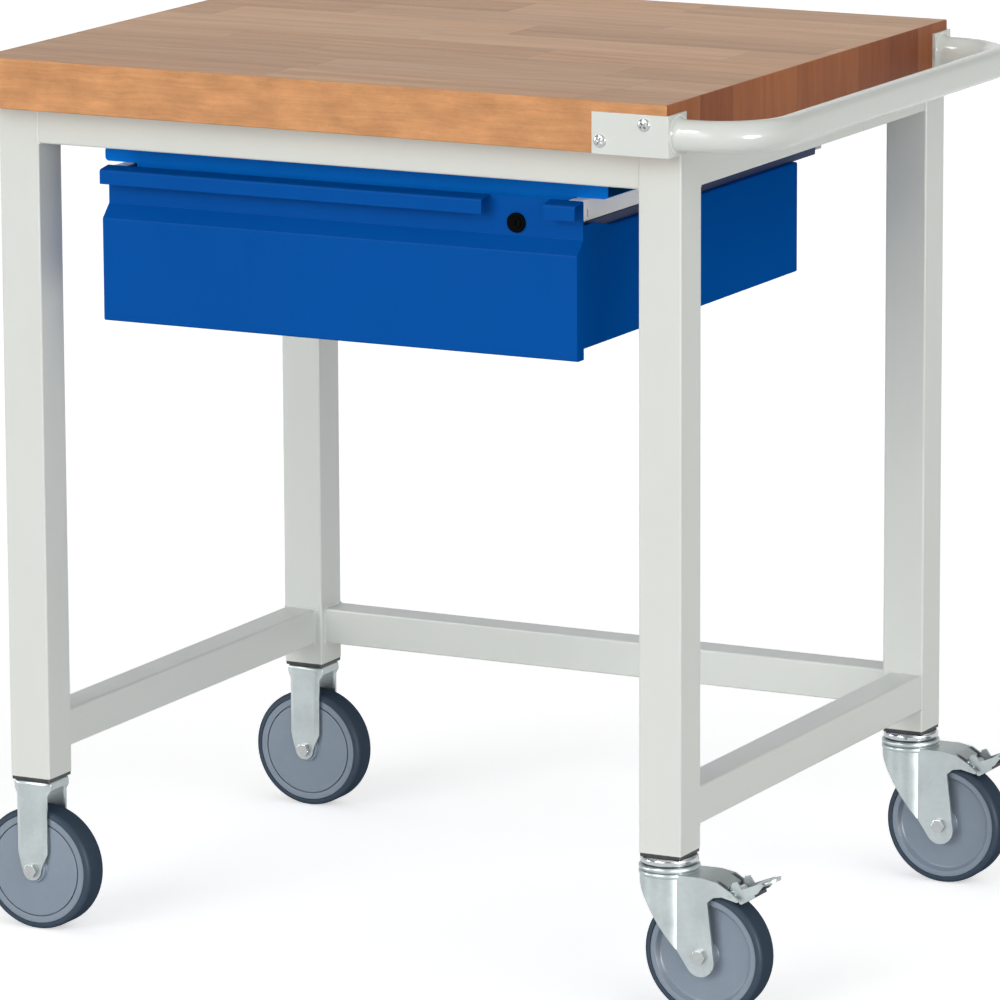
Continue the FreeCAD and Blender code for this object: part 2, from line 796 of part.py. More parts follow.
def wheel_core(x, y, dished):
    bore = axle_r + fit_gap
    inner = rim_r - rim_band
    face = rim_half - dish_depth if dished else rim_half - rim_groove
    slope = dish_slope if dished else rim_groove
    half = [(bore, hub_half), (hub_r, hub_half), (hub_r, face), (inner - slope, face), (inner, rim_half),
            (rim_r - fit_gap, rim_half)]
    points = half + [(r, -w) for r, w in half[::-1]]
    return turned(points, x, y, wheel_r)


def tyre(x, y):
    points = [(rim_r, -tyre_half), (wheel_r, -tyre_half), (wheel_r, tyre_half), (rim_r, tyre_half)]
    body = turned(points, x, y, wheel_r)
    return body.makeFillet(tyre_round, ring_edges(body, wheel_r))


def axle_bolt(x, y):
    head = hexagon(V(x, y - fork_half, wheel_r), -AY, axle_head_flats, axle_head_h)
    shank = rod(V(x, y - fork_half, wheel_r), AY, axle_r, fork_half * 2 + axle_nut_h)
    return one([head, shank])


def axle_nut(x, y):
    start = V(x, y + fork_half, wheel_r)
    hole = rod(start - AY * overrun, AY, axle_r + fit_gap, axle_nut_h + overrun * 2)
    return hexagon(start, AY, axle_head_flats, axle_nut_h).cut(hole)


def axle_hole(x, y):
    return rod(V(x, y - fork_half - overrun, wheel_r), AY, axle_r + fit_gap, fork_half * 2 + overrun * 2)


# Plan of the fixed fork: flat middles, edges bent back, cut off at `end` from the stem
def fixed_plan(x, y, half, end, low, high):
    edge = half - fixed_fall * (end - fixed_flat) / (fixed_half - fixed_flat)
    right = [(fixed_flat, -half), (end, -edge), (end, edge), (fixed_flat, half)]
    points = [V(x + u, y + v, low) for u, v in right + [(-u, v) for u, v in right[::-1]]]
    return prism(points, AZ * (high - low))


# Fixed fork: two plates under a pressed pan
def fixed_fork(x, y):
    top = caster_height
    neck = top - fixed_shoulder
    right = [(fixed_half_top, top), (fixed_half_top, neck), (fixed_half, neck - fixed_slope),
             (fixed_half, fixed_taper_z), (fixed_boss_r, wheel_r)]
    points = [V(x + u, y - fork_half, z) for u, z in right + [(-u, z) for u, z in right[::-1]]]
    plates = prism(points, AY * (fork_half * 2))
    boss = rod(V(x, y - fork_half, wheel_r), AY, fixed_boss_r, fork_half * 2)
    body = fixed_plan(x, y, fork_half, fixed_half_top, 0, top).common(one([plates, boss]))
    rim = [e for e in body.Edges if min(v.Z for v in e.Vertexes) > top - fit_gap]
    body = body.makeFillet(fixed_top_round, rim)
    inside = fork_half - fork_sheet
    gap = fixed_plan(x, y, inside, fixed_half_top + overrun, 0, neck)
    pan = fixed_plan(x, y, inside, fixed_half_top - fork_sheet, 0, top - fork_sheet)
    stem = rod(V(x, y, top - fork_sheet - overrun), AZ, stem_r + fit_gap, fork_sheet + overrun * 2)
    return body.cut(gap).cut(pan).cut(stem).cut(axle_hole(x, y))


# Swivel head
def swivel_race(x, y):
    disc = rod(V(x, y, race_low), AZ, race_r, caster_height - race_low)
    disc = disc.makeFillet(race_round, ring_edges(disc, race_r))
    hole = rod(V(x, y, race_low - overrun), AZ, stem_r + fit_gap, caster_height - race_low + overrun * 2)
    return disc.cut(hole)


# The crown: two beads, one on the other
def crown_beads(x, y):
    middle = (crown_low + crown_high) / 2
    beads = []
    for low, high in ((crown_low, middle), (middle, crown_high)):
        bead = rod(V(x, y, low), AZ, crown_r, high - low)
        beads.append(bead.makeFillet(crown_round, ring_edges(bead, crown_r)))
    return beads


# Plan of the swivel fork: round about the stem, flat cheeks towards the pedal
def fork_plan(x, y, half, nose):
    cheeks = box(x, x + pedal_tip, y - half, y + half, 0, caster_height)
    return one([cheeks, rod(V(x, y, 0), AZ, nose, caster_height)])


# Side view of the trailing fork, its lower end rounded a little below the axle
def fork_side(x, y):
    centre = (trail, wheel_r - boss_drop)
    left = fork_corner
    run = math.hypot(left[0] - centre[0], left[1] - centre[1])
    angle = math.atan2(left[1] - centre[1], left[0] - centre[0]) + math.acos(boss_r / run)
    tangent = (centre[0] + boss_r * math.cos(angle), centre[1] + boss_r * math.sin(angle))
    foot = [centre, tangent, left, (roof_points[0][0], left[1])]
    outline = roof_points + tail_points + foot
    plate = prism([V(x + u, y - crown_r, z) for u, z in outline], AY * (crown_r * 2))
    boss = rod(V(x + centre[0], y - crown_r, centre[1]), AY, boss_r, crown_r * 2)
    return one([plate, boss])


# The space under the fork's roof, a sheet's thickness below its upper line
def under_roof(x, y):
    line = [(u, z - fork_sheet) for u, z in roof_points]
    outline = [(line[0][0], 0)] + line + [(line[-1][0], 0)]
    return prism([V(x + u, y - crown_r, z) for u, z in outline], AY * (crown_r * 2))


# The roof ends before the pedal, with a notch along each cheek
def roof_cuts(x, y, inside):
    far = x + pedal_tip
    cuts = [box(x + roof_end, far, y - inside, y + inside, 0, caster_height)]
    for low, high in ((-inside, roof_notch_width - inside), (inside - roof_notch_width, inside)):
        cuts.append(box(x + roof_notch_start, far, y + low, y + high, 0, caster_height))
    return cuts


def swivel_fork(x, y):
    inside = fork_half - fork_sheet
    shell = fork_plan(x, y, fork_half, nose_r).common(fork_side(x, y))
    hollow = fork_plan(x, y, inside, nose_r - fork_sheet).common(under_roof(x, y))
    shell = shell.cut(one([hollow] + roof_cuts(x, y, inside)))
    body = one([shell] + crown_beads(x, y))
    stem = rod(V(x, y, 0), AZ, stem_r + fit_gap, caster_height)
    pin_start = V(x + pin_at[0], y - fork_half - overrun, pin_at[1])
    pin = rod(pin_start, AY, pin_r + fit_gap, fork_half * 2 + overrun * 2)
    return body.cut(stem).cut(axle_hole(x + trail, y)).cut(pin)


def pedal_pin(x, y):
    return rod(V(x + pin_at[0], y - fork_half, pin_at[1]), AY, pin_r, fork_half * 2)


# An outline of the pedal, from v0 to v1 across the caster
def pedal_slab(x, y, outline, v0, v1):
    return prism([V(x + u, y + v0, wheel_top + rise) for u, rise in outline], AY * (v1 - v0))


# A tread and a brake shoe between two walls that turn on the pin, and a spoon for the foot
def brake_pedal(x, y):
    half = pedal_wall_half
    parts = [pedal_slab(x, y, pedal_wall, -half, pedal_sheet - half),
             pedal_slab(x, y, pedal_wall, half - pedal_sheet, half),
             pedal_slab(x, y, pedal_tread, -half, half),
             pedal_slab(x, y, pedal_shoe, pedal_sheet - half, half - pedal_sheet)]
    parts.append(rod(V(x + pin_at[0], y - pedal_half, pin_at[1]), AY, pedal_hub_r, pedal_half * 2))
    round_at = x + pedal_tip - spoon_half
    plan = one([box(x, round_at, y - spoon_half, y + spoon_half, 0, bench_height),
                rod(V(round_at, y, 0), AZ, spoon_half, bench_height)])
    parts.append(pedal_slab(x, y, pedal_spoon, -spoon_half, spoon_half).common(plan))
    bore = rod(V(x + pin_at[0], y - pedal_half - overrun, pin_at[1]), AY, pin_r + fit_gap,
               pedal_half * 2 + overrun * 2)
    return one(parts).cut(bore)


# Stem bolts: under the fixed forks' tops, and under the swivel forks' crowns
def stem_bolts():
    made = []
    for x in leg_xs:
        under = caster_height - fork_sheet if x == leg_xs[0] else crown_low - slip_gap
        for y in leg_ys:
            reach = leg_low + stem_bite - under
            made.append(screw(V(x, y, under), AZ, stem_head_r, stem_head_h, stem_r, reach))
    return Part.makeCompound(made)


left_x, right_x = leg_xs
front_y, rear_y = leg_ys
axle_x = right_x + trail
rail_rear_y = frame_depth - rail_setback - rail_depth
rail_right_x = frame_width - rail_setback - rail_depth

NODES = {
    "leg_front_left": leg(left_x, front_y),
    "leg_front_right": leg(right_x, front_y),
    "leg_rear_left": leg(left_x, rear_y),
    "leg_rear_right": leg(right_x, rear_y),
    "rail_upper_front": upper_rail(rail_across(rail_setback, upper_rail_low)),
    "rail_upper_rear": upper_rail(rail_across(rail_rear_y, upper_rail_low)),
    "rail_upper_left": upper_rail(rail_along(rail_setback, upper_rail_low)),
    "rail_upper_right": upper_rail(rail_along(rail_right_x, upper_rail_low)),
    "rail_lower_left": rail_along(rail_setback, lower_rail_low),
    "rail_lower_right": rail_along(rail_right_x, lower_rail_low),
    "rail_lower_rear": rail_across(rail_rear_y, lower_rail_low),
    "foot_caps": foot_caps(),
    "worktop": worktop(),
    "worktop_screws": top_screws(),
    "handle_tube": handle_tube(),
    "handle_bracket_front": handle_bracket(False),
    "handle_bracket_rear": handle_bracket(True),
    "bracket_screws": bracket_screws(),
    "drawer_cover": drawer_cover(),
    "cover_hanger_front": hanger(*hanger_feet()[0]),
    "cover_hanger_rear": hanger(*hanger_feet()[1]),
    "hanger_screws": hanger_screws(),
    "cover_rivets": cover_rivets(),
    "guide_rail_left": guide_rail(-1),
    "guide_rail_right": guide_rail(1),
    "guide_stops": guide_stops(),
    "drawer_tray": drawer_tray(),
    "drawer_front": drawer_front(),
    "drawer_runner_left": drawer_runner(-1),
    "drawer_runner_right": drawer_runner(1),
    "runner_rivets": runner_rivets(),
    "lock_body": lock_body(),
    "lock_plug": lock_plug(),
    "lock_nut": lock_nut(),
    "lock_cam": lock_cam(),
    "stem_bolts": stem_bolts(),
    "fixed_axle_bolts": Part.makeCompound([axle_bolt(left_x, y) for y in leg_ys]),
    "fixed_axle_nuts": Part.makeCompound([axle_nut(left_x, y) for y in leg_ys]),
}
for place, y in zip(("front", "rear"), leg_ys):
    NODES["fixed_fork_" + place] = fixed_fork(left_x, y)
    NODES["fixed_wheel_" + place] = wheel_core(left_x, y, False)
    NODES["fixed_tyre_" + place] = tyre(left_x, y)
    NODES["swivel_race_" + place] = swivel_race(right_x, y)
    NODES["swivel_fork_" + place] = swivel_fork(right_x, y)
    NODES["swivel_wheel_" + place] = wheel_core(axle_x, y, True)
    NODES["swivel_tyre_" + place] = tyre(axle_x, y)
    NODES["swivel_axle_bolt_" + place] = axle_bolt(axle_x, y)
    NODES["swivel_axle_nut_" + place] = axle_nut(axle_x, y)
    NODES["brake_pedal_" + place] = brake_pedal(right_x, y)
    NODES["pedal_pin_" + place] = pedal_pin(right_x, y)

os.makedirs("parts", exist_ok=True)
for name, shape in NODES.items():
    shape.translate(SHIFT)
    shape.exportStep("parts/" + name + ".step")
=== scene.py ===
import json
import math

import bmesh
import bpy
from mathutils import Matrix, Vector


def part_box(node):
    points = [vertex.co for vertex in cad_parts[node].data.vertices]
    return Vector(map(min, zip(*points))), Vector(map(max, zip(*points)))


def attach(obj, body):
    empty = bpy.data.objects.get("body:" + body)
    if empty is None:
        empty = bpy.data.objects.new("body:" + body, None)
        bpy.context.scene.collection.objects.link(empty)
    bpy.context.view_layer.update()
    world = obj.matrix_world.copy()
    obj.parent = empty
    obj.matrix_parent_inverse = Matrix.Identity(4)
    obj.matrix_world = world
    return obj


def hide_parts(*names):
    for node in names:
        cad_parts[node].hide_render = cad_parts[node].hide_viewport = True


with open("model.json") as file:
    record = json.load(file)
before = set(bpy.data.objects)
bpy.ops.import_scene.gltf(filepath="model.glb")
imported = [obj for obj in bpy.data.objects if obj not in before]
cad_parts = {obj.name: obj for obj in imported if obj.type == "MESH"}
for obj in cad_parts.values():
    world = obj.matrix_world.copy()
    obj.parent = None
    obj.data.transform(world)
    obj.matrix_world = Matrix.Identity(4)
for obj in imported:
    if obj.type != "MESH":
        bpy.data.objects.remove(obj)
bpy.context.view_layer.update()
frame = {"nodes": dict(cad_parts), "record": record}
NODES = frame["nodes"]
SLOT_OF = {part["node"]: part["material_slot"] for part in frame["record"]["subparts"]}
BODY_OF = {node: body for body, nodes in frame["record"]["behaviour"]["bodies"].items() for node in nodes}
PLACES = ("front", "rear")

# Camera, found by setting the bench's edges over the photograph
VIEW_AZIMUTH = math.radians(27.212)
VIEW_ELEVATION = math.radians(11.683)
VIEW_ROLL = math.radians(-0.258)
VIEW_DISTANCE = 7.28683
VIEW_TARGET = Vector((-0.03057, 0.05925, 0.40912))
VIEW_REACH = 200.0
IMAGE_PIXELS = 1000
FOCAL_PIXELS = 7175.15
SENSOR_MM = 36.0

# Light levels, and where each lamp shines from
SKY_LEVEL = 0.36
KEY_LEVEL = 1.42
KEY_SPREAD = math.radians(40)
KEY_FROM = Vector((-0.25, -1.0, 0.3))
FILL_LEVEL = 1.0
FILL_SPREAD = math.radians(60)
FILL_FROM = Vector((1.0, -0.5, 0.45))
EDGE_SPREAD = math.radians(16)
EDGE_LAMPS = {
    "right_edge_lamp": (Vector((0.89, -0.45, 0.07)), 7.0),
    "left_edge_lamp": (Vector((-0.90, -0.42, 0.07)), 1.2),
    "bend_lamp": (Vector((-0.36, -0.72, 0.58)), 1.1),
}
FLOOR_LIFT = 0.52
FLOOR_REACH = 60.0

# The sky as the coats mirror it: dim before the bench and in a band above the horizon, bright overhead
SKY_DARK = 0.30
SKY_FRONT_TO_BACK = (-0.7, 0.4)
SKY_BAND = 0.12
SKY_BAND_RISE = (0.34, 0.42)
SKY_OVERHEAD = (0.5, 0.8)

# Colours as linear light
PAINT_GREY = (0.72, 0.745, 0.70)
PAINT_BLUE = (0.001, 0.084, 0.375)
# Drawer cover's blue, written lighter than the drawer's paint as painted light for the shade the cover lies
# in under the worktop and rail
COVER_BLUE_PAINTED_LIGHT = (0.001, 0.19, 0.74)
# Runners' blue, written dark navy as painted shade for the shade under the guide rails and the side rail
RUNNER_BLUE_PAINTED_SHADE = (0.002, 0.022, 0.095)
# Guide rails' pale grey, written near-white and warm as painted light for the shade under the worktop and
# the blue light bounced onto them
GUIDE_GREY_PAINTED_LIGHT = (0.96, 0.945, 0.90)
ZINC = (0.41, 0.455, 0.46)
BRIGHT_ZINC = (0.50, 0.53, 0.545)
BOLT_ZINC = (0.46, 0.475, 0.475)
LINING_BLACK = (0.012, 0.012, 0.013)
RIM_GREY = (0.235, 0.285, 0.35)
TYRE_SLATE = (0.050, 0.073, 0.104)
CAP_BLACK = (0.016, 0.017, 0.018)
LOCK_BLACK = (0.002, 0.0022, 0.0027)
STOP_GREY = (0.52, 0.53, 0.52)
DUST_GREY = (0.42, 0.42, 0.41)
FLOOR_WHITE = (0.90, 0.90, 0.90)
BEECH_PALE = (0.66, 0.394, 0.215)
BEECH_WARM = (0.556, 0.289, 0.128)
BEECH_DARK = (0.378, 0.173, 0.079)
BEECH_EDGE = (0.645, 0.312, 0.138)
BEECH_END = (0.225, 0.062, 0.024)
BEECH_END_PALE = (0.47, 0.165, 0.060)
BEECH_GLUE = (0.16, 0.065, 0.035)

# Figure of the coats, the zinc and the mouldings: scales, shares of the tone and of the roughness
MIDDLE = 0.5
PEEL_SCALE = 420.0
CLOUD_SCALE = 5.0
HAZE_STRETCH = (1.0, 1.0, 0.35)
HAZE_SCALE = 34.0
HAZE_SHARE = 0.6
HAZE_ROUGH = 0.22
SHADE_MIDDLE = 0.8
GRIT_SCALE = 1900.0
GRIT_RELIEF = 0.25
SPANGLE_SCALE = 260.0
SPANGLE_SHARE = 0.35
DRAWN_STRETCH = (1.0, 1.0, 0.06)
DRAWN_SCALE = 900.0
DRAWN_ROUGH = 0.12
DRAWN_RELIEF = 0.6
PATCH_SCALE = 28.0
PATCH_ROUGH = 0.3
SPARK_SCALE = 1500.0
SPARK_SHARE = 0.08
FLOW_SCALE = 36.0
FLOW_ROUGH = 0.2
FLOW_RELIEF = 0.4
DUST_SCALE = 90.0
DUST_FROM = (0.5, 0.8)
DUST_ROUGH = 0.5
SLANT_FADE = (0.2, 0.48)

# Worktop staves, in metres, and how far rows and staves differ
STAVE_WIDTH = 0.0722
STAVE_LENGTH = 0.34
ROW_SHIFT = 7.0
STAVE_APART = 9.0

# Long grain of the beech; stretches are along, across and up
BEND_SCALE = 7.0
BEND_SWAY = 0.035
BAND_STRETCH = (3.2, 62.0, 46.0)
BAND_SHARE = 1.35
FIBRE_STRETCH = (14.0, 900.0, 900.0)
FIBRE_SHARE = 0.50
FIBRE_ROUGH = 0.16
BEECH_ROUGH = 0.36
FLECK_STRETCH = (210.0, 1900.0, 1900.0)
FLECK_FROM = (0.60, 0.72)
FLECK_SHARE = 0.30
FLECK_RELIEF = -0.5
TONE_SHARE = 0.42
TONE_START = -0.35
WARM_FROM = (0.2, 0.62)
DARK_FROM = (0.62, 1.0)
DARK_SHARE = 0.8
TINT_RANGE = (0.90, 1.11)
GRAIN_BUMP = 0.25
GRAIN_DEPTH = 0.0004
BEECH_GLOSS = 0.50
SAWN_GLOSS = -0.42

# End grain: the rings' centre as a share of chance and a start, then the shares of the tone
RING_CENTRE_ACROSS = (0.30, 0.14)
RING_CENTRE_UP = (0.12, -0.04)
RING_WARP_SCALE = 24.0
RING_WARP = 11.0
RING_PITCH = 1500.0
RING_SHARE = 0.02
PORE_SCALE = 1300.0
PORE_SHARE = 0.25
END_STREAK_STRETCH = (1.0, 75.0, 9.0)
END_STREAK_SHARE = 0.8
END_TONE_SHARE = 0.75
END_START = 0.08
END_FROM = (0.15, 1.1)

# Long edges of the slab, and the glue lines as distances from a stave's middle
FACING_FROM = (0.45, 0.6)
EDGE_SWAY_SCALE = 16.0
EDGE_SWAY = 0.012
EDGE_GRAIN_STRETCH = (9.0, 1.0, 300.0)
EDGE_GRAIN_SHARE = 0.46
EDGE_CLOUD_STRETCH = (24.0, 1.0, 48.0)
EDGE_CLOUD_SHARE = 0.78
EDGE_FLECK_SHARE = -0.12
ROW_LINE = (0.4935, 0.4985)
END_LINE = (0.4985, 0.4995)
GLUE_SHARE = 0.45
GLUE_RELIEF = -1.5

# Push handle, in metres as all sizes below
HANDLE_BEND = 0.065
HANDLE_SIDES = 64
HANDLE_BEND_STEPS = 40
HANDLE_STEP = 0.004
HANDLE_FLARE = 0.0034
FLARE_LENGTH = 0.008
FLARE_SINK = 0.001
FLARE_ANGLES = range(10, 91, 10)

# Welds
WELD_BEAD = 0.0013
WELD_BEAD_DETAIL = 2
WELD_PITCH = 0.0017
WELD_UNEVEN = (0.85, 1.15)
WELD_SEED = 4
WELD_RING_STEPS = 40

# Tyres
WHEEL_STEPS = 120
TYRE_SIDE = 0.0063
TYRE_SHOULDER = 0.0055
TYRE_EDGE = 0.0006
TYRE_ROUND_STEPS = 8

# Wheel cores: hub, then the rim with a dish (swivel) or a groove (fixed)
RIM_GAP = 0.00005
RIM_SET_BACK = 0.0044
RIM_EDGE = 0.0008
AXLE_BORE = 0.0042
HUB_RADIUS = 0.013
HUB_EDGE = 0.0012
HUB_FOOT = 0.0005
HUB_FOOT_ROUND = 0.001
DISH_BAND = 0.0056
DISH_DEPTH = 0.0056
DISH_SLOPE = 0.0034
DISH_ROUND = 0.003
DISH_HUB_FOOT = 0.001
DISH_HUB_ROUND = 0.0015
GROOVE_BAND = 0.0068
GROOVE_WIDTH = 0.0012
GROOVE_DEPTH = 0.0030
GROOVE_EDGE = 0.0004

# Bracket screws
SCREW_INSET = 0.0058
SCREW_HEAD = 0.0062
SCREW_HEIGHT = 0.003
SCREW_RIM_SHARE = 0.35
SCREW_DOME_STEPS = 8
SCREW_MIDDLE = 0.0004
SCREW_CROSS = 0.0041
SCREW_CROSS_HALF = 0.0010
SCREW_CROSS_DEPTH = 0.0019
SCREW_SEED = 7

# Pedal springs
SPRING_COIL = 0.0044
SPRING_WIRE = 0.0007
SPRING_WIRE_SIDES = 8
SPRING_TURNS = 13.0
SPRING_TURN_STEPS = 28
SPRING_LENGTH = 0.0225

# Pedal tongue and brake lining, from the stem's axis and the top of the wheel
TONGUE_ROOT = Vector((0.0970, 0.0102))
TONGUE_TIP = Vector((0.1168, 0.0184))
TONGUE_ROUND_FROM = 0.45
TONGUE_HALF = 0.0118
TONGUE_TIP_HALF = 0.0004
TONGUE_THICK = 0.0022
TONGUE_THIN_SHARE = 0.35
TONGUE_SIDE_POWER = 0.45
TONGUE_FACE_POWER = 0.7
TONGUE_STEPS = 18
TONGUE_SIDES = 24
LINING = [(0.0788, -0.0030, 0.0004), (0.0798, -0.0079, 0.0006), (0.0825, -0.0086, 0.0006),
          (0.0974, 0.0003, 0.0006), (0.0963, 0.0039, 0.0004)]
LINING_ROUND_STEPS = 3
LINING_HALF = 0.0129

# Hem under the front flange of the drawer's cover
HEM_SET_BACK = 0.0003
HEM_THICK = 0.0014
HEM_THICK_TO_FOLD = 2.2
HEM_CLEAR = 0.0012
HEM_END_GAP = 0.002
HEM_SEAT = 0.0002

# Rounding of edges on pressed, turned and moulded pieces
EDGE_ROUND = {"handle_bracket": 0.0006, "foot_caps": 0.0005, "fixed_fork": 0.0006, "swivel_fork": 0.0006,
              "brake_pedal": 0.0006, "axle_bolt": 0.0006, "axle_nut": 0.0006, "guide_rail": 0.0003,
              "guide_stops": 0.0006, "lock_body": 0.0004, "lock_plug": 0.0002, "lock_cam": 0.0003,
              "lock_nut": 0.0003, "drawer_cover": 0.0003}
EDGE_STEPS = 3
MERGE = 1e-5
FLAT_ANGLE = math.radians(0.6)
SHARP_ANGLE = math.radians(34)


# Node trees
def put(tree, kind, sockets=None, **settings):
    """Adds a node; sockets maps an input's name or place to a value or to a socket to link from."""
    made = tree.nodes.new(kind)
    for name, value in settings.items():
        setattr(made, name, value)
    for key, value in (sockets or {}).items():
        if isinstance(value, bpy.types.NodeSocket):
            tree.links.new(value, made.inputs[key])
        else:
            made.inputs[key].default_value = value
    return made


def maths(tree, operation, a, b=0.0, c=0.0, clamp=False):
    return put(tree, "ShaderNodeMath", {0: a, 1: b, 2: c}, operation=operation, use_clamp=clamp).outputs[0]


def vector_maths(tree, operation, a, b=(0, 0, 0)):
    made = put(tree, "ShaderNodeVectorMath", {0: a, 1: b}, operation=operation)
    return made.outputs["Value" if operation in ("LENGTH", "DOT_PRODUCT", "DISTANCE") else "Vector"]


def spread(tree, value, low, high, to_low=0.0, to_high=1.0):
    """Maps value from low..high to to_low..to_high and holds it there."""
    return put(tree, "ShaderNodeMapRange", {"Value": value, "From Min": low, "From Max": high,
                                            "To Min": to_low, "To Max": to_high}).outputs[0]


def blended(tree, share, first, second, mode="MIX"):
    made = put(tree, "ShaderNodeMix", data_type="RGBA", blend_type=mode)
    for socket, value in ((made.inputs[0], share), (made.inputs[6], first), (made.inputs[7], second)):
        if isinstance(value, bpy.types.NodeSocket):
            tree.links.new(value, socket)
        else:
            socket.default_value = value if isinstance(value, float) else (*value[:3], 1.0)
    return made.outputs[2]


def noise(tree, where, scale, detail=2.0, roughness=0.5):
    return put(tree, "ShaderNodeTexNoise", {"Vector": where, "Scale": scale, "Detail": detail,
                                            "Roughness": roughness}).outputs["Fac"]


def stretched(tree, where, scale):
    return put(tree, "ShaderNodeMapping", {"Vector": where, "Scale": scale}).outputs[0]


def new_group(name, inputs, outputs):
    """An empty shader group; inputs are (name, kind, value), outputs are (name, kind)."""
    group = bpy.data.node_groups.new(name, "ShaderNodeTree")
    for label, kind, value in inputs:
        socket = group.interface.new_socket(label, in_out="INPUT", socket_type="NodeSocket" + kind)
        if value is not None:
            socket.default_value = value
    for label, kind in outputs:
        group.interface.new_socket(label, in_out="OUTPUT", socket_type="NodeSocket" + kind)
    return group, put(group, "NodeGroupInput").outputs, put(group, "NodeGroupOutput").inputs


def toned(tree, colour, amount):
    """The colour made lighter or darker: amount 1 leaves it as it is."""
    grey = put(tree, "ShaderNodeCombineColor", {0: amount, 1: amount, 2: amount}).outputs[0]
    return blended(tree, 1.0, colour, grey, "MULTIPLY")


def swung(tree, value, weight, about, clamp=False):
    """About, moved by weight times the value's distance from its middle."""
    return maths(tree, "MULTIPLY_ADD", maths(tree, "SUBTRACT", value, MIDDLE), weight, about, clamp)


def from_middle(tree, value):
    return maths(tree, "ABSOLUTE", maths(tree, "SUBTRACT", value, MIDDLE))


def scaled(tree, vector, factor):
    made = put(tree, "ShaderNodeVectorMath", {0: vector, "Scale": factor}, operation="SCALE")
    return made.outputs["Vector"]


def swayed(tree, where, scale, sway):
    """The place, pushed about by a slow noise."""
    push = put(tree, "ShaderNodeTexNoise", {"Vector": where, "Scale": scale}).outputs["Color"]
    return vector_maths(tree, "ADD", where, scaled(tree, push, sway))


def grain(tree, where, stretch, detail, roughness=0.5):
    """Noise with a scale of its own in each direction."""
    return noise(tree, stretched(tree, where, stretch), 1.0, detail, roughness)


def new_material(name):
    material = bpy.data.materials.new(name)
    material.use_nodes = True
    material.node_tree.nodes.clear()
    return material, material.node_tree


# Skins: groups that give a material its colour, roughness and height
SKIN_INPUTS = [("Vector", "Vector", None), ("Colour", "Color", None), ("Roughness", "Float", 0.4),
               ("Mottle", "Float", 0.05)]
SKIN_OUTPUTS = [("Colour", "Color"), ("Roughness", "Float"), ("Height", "Float")]


def powder_coat_group():
    """Sprayed and baked coat: fine peel, slow mottling, handling marks."""
    inputs = SKIN_INPUTS + [("Peel", "Float", PEEL_SCALE)]
    group, given, wanted = new_group("powder_coat_skin", inputs, SKIN_OUTPUTS)
    where = given["Vector"]
    cloud = noise(group, where, CLOUD_SCALE, detail=3.0)
    haze = noise(group, stretched(group, where, HAZE_STRETCH), HAZE_SCALE, detail=4.0, roughness=0.6)
    peel = noise(group, where, given["Peel"], detail=2.0, roughness=0.55)
    grit = noise(group, where, GRIT_SCALE, detail=1.0)
    shade = maths(group, "ADD", cloud, maths(group, "MULTIPLY", haze, HAZE_SHARE))
    shade = maths(group, "SUBTRACT", shade, SHADE_MIDDLE)
    amount = maths(group, "MULTIPLY_ADD", shade, given["Mottle"], 1.0)
    group.links.new(toned(group, given["Colour"], amount), wanted["Colour"])
    group.links.new(swung(group, haze, HAZE_ROUGH, given["Roughness"], True), wanted["Roughness"])
    group.links.new(maths(group, "MULTIPLY_ADD", grit, GRIT_RELIEF, peel), wanted["Height"])
    return group


def zinc_group():
    """Zinc on pressed or turned steel: soft spangle, drawing streaks, dull patches."""
    inputs = SKIN_INPUTS + [("Streak", "Float", 1.0)]
    group, given, wanted = new_group("zinc_skin", inputs, SKIN_OUTPUTS)
    where = given["Vector"]
    cells = put(group, "ShaderNodeTexVoronoi", {"Vector": where, "Scale": SPANGLE_SCALE, "Randomness": 1.0})
    tone = put(group, "ShaderNodeSeparateColor", {0: cells.outputs["Color"]}).outputs[0]
    streak = noise(group, stretched(group, where, DRAWN_STRETCH), DRAWN_SCALE, detail=2.0)
    patch = noise(group, where, PATCH_SCALE, detail=4.0, roughness=0.6)
    shade = swung(group, tone, SPANGLE_SHARE, patch)
    amount = swung(group, shade, given["Mottle"], 1.0)
    group.links.new(toned(group, given["Colour"], amount), wanted["Colour"])
    drawn = maths(group, "MULTIPLY", maths(group, "SUBTRACT", streak, MIDDLE), given["Streak"])
    rough = swung(group, patch, PATCH_ROUGH, given["Roughness"])
    rough = maths(group, "MULTIPLY_ADD", drawn, DRAWN_ROUGH, rough, True)
    group.links.new(rough, wanted["Roughness"])
    group.links.new(maths(group, "MULTIPLY_ADD", drawn, DRAWN_RELIEF, patch), wanted["Height"])
    return group


def moulded_group():
    """Moulded plastic or rubber: fine spark grain, faint flow marks and dust."""
    inputs = SKIN_INPUTS + [("Dust", "Float", 0.1)]
    group, given, wanted = new_group("moulded_skin", inputs, SKIN_OUTPUTS)
    where = given["Vector"]
    spark = noise(group, where, SPARK_SCALE, detail=1.0)
    flow = noise(group, where, FLOW_SCALE, detail=3.0, roughness=0.6)
    amount = swung(group, flow, given["Mottle"], 1.0)
    amount = swung(group, spark, SPARK_SHARE, amount)
    clean = toned(group, given["Colour"], amount)
    settled = spread(group, noise(group, where, DUST_SCALE, detail=5.0, roughness=0.65), *DUST_FROM)
    share = maths(group, "MULTIPLY", settled, given["Dust"])
    group.links.new(blended(group, share, clean, DUST_GREY), wanted["Colour"])
    rough = swung(group, flow, FLOW_ROUGH, given["Roughness"])
    group.links.new(maths(group, "MULTIPLY_ADD", share, DUST_ROUGH, rough, True), wanted["Roughness"])
    group.links.new(maths(group, "MULTIPLY_ADD", flow, FLOW_RELIEF, spark), wanted["Height"])
    return group


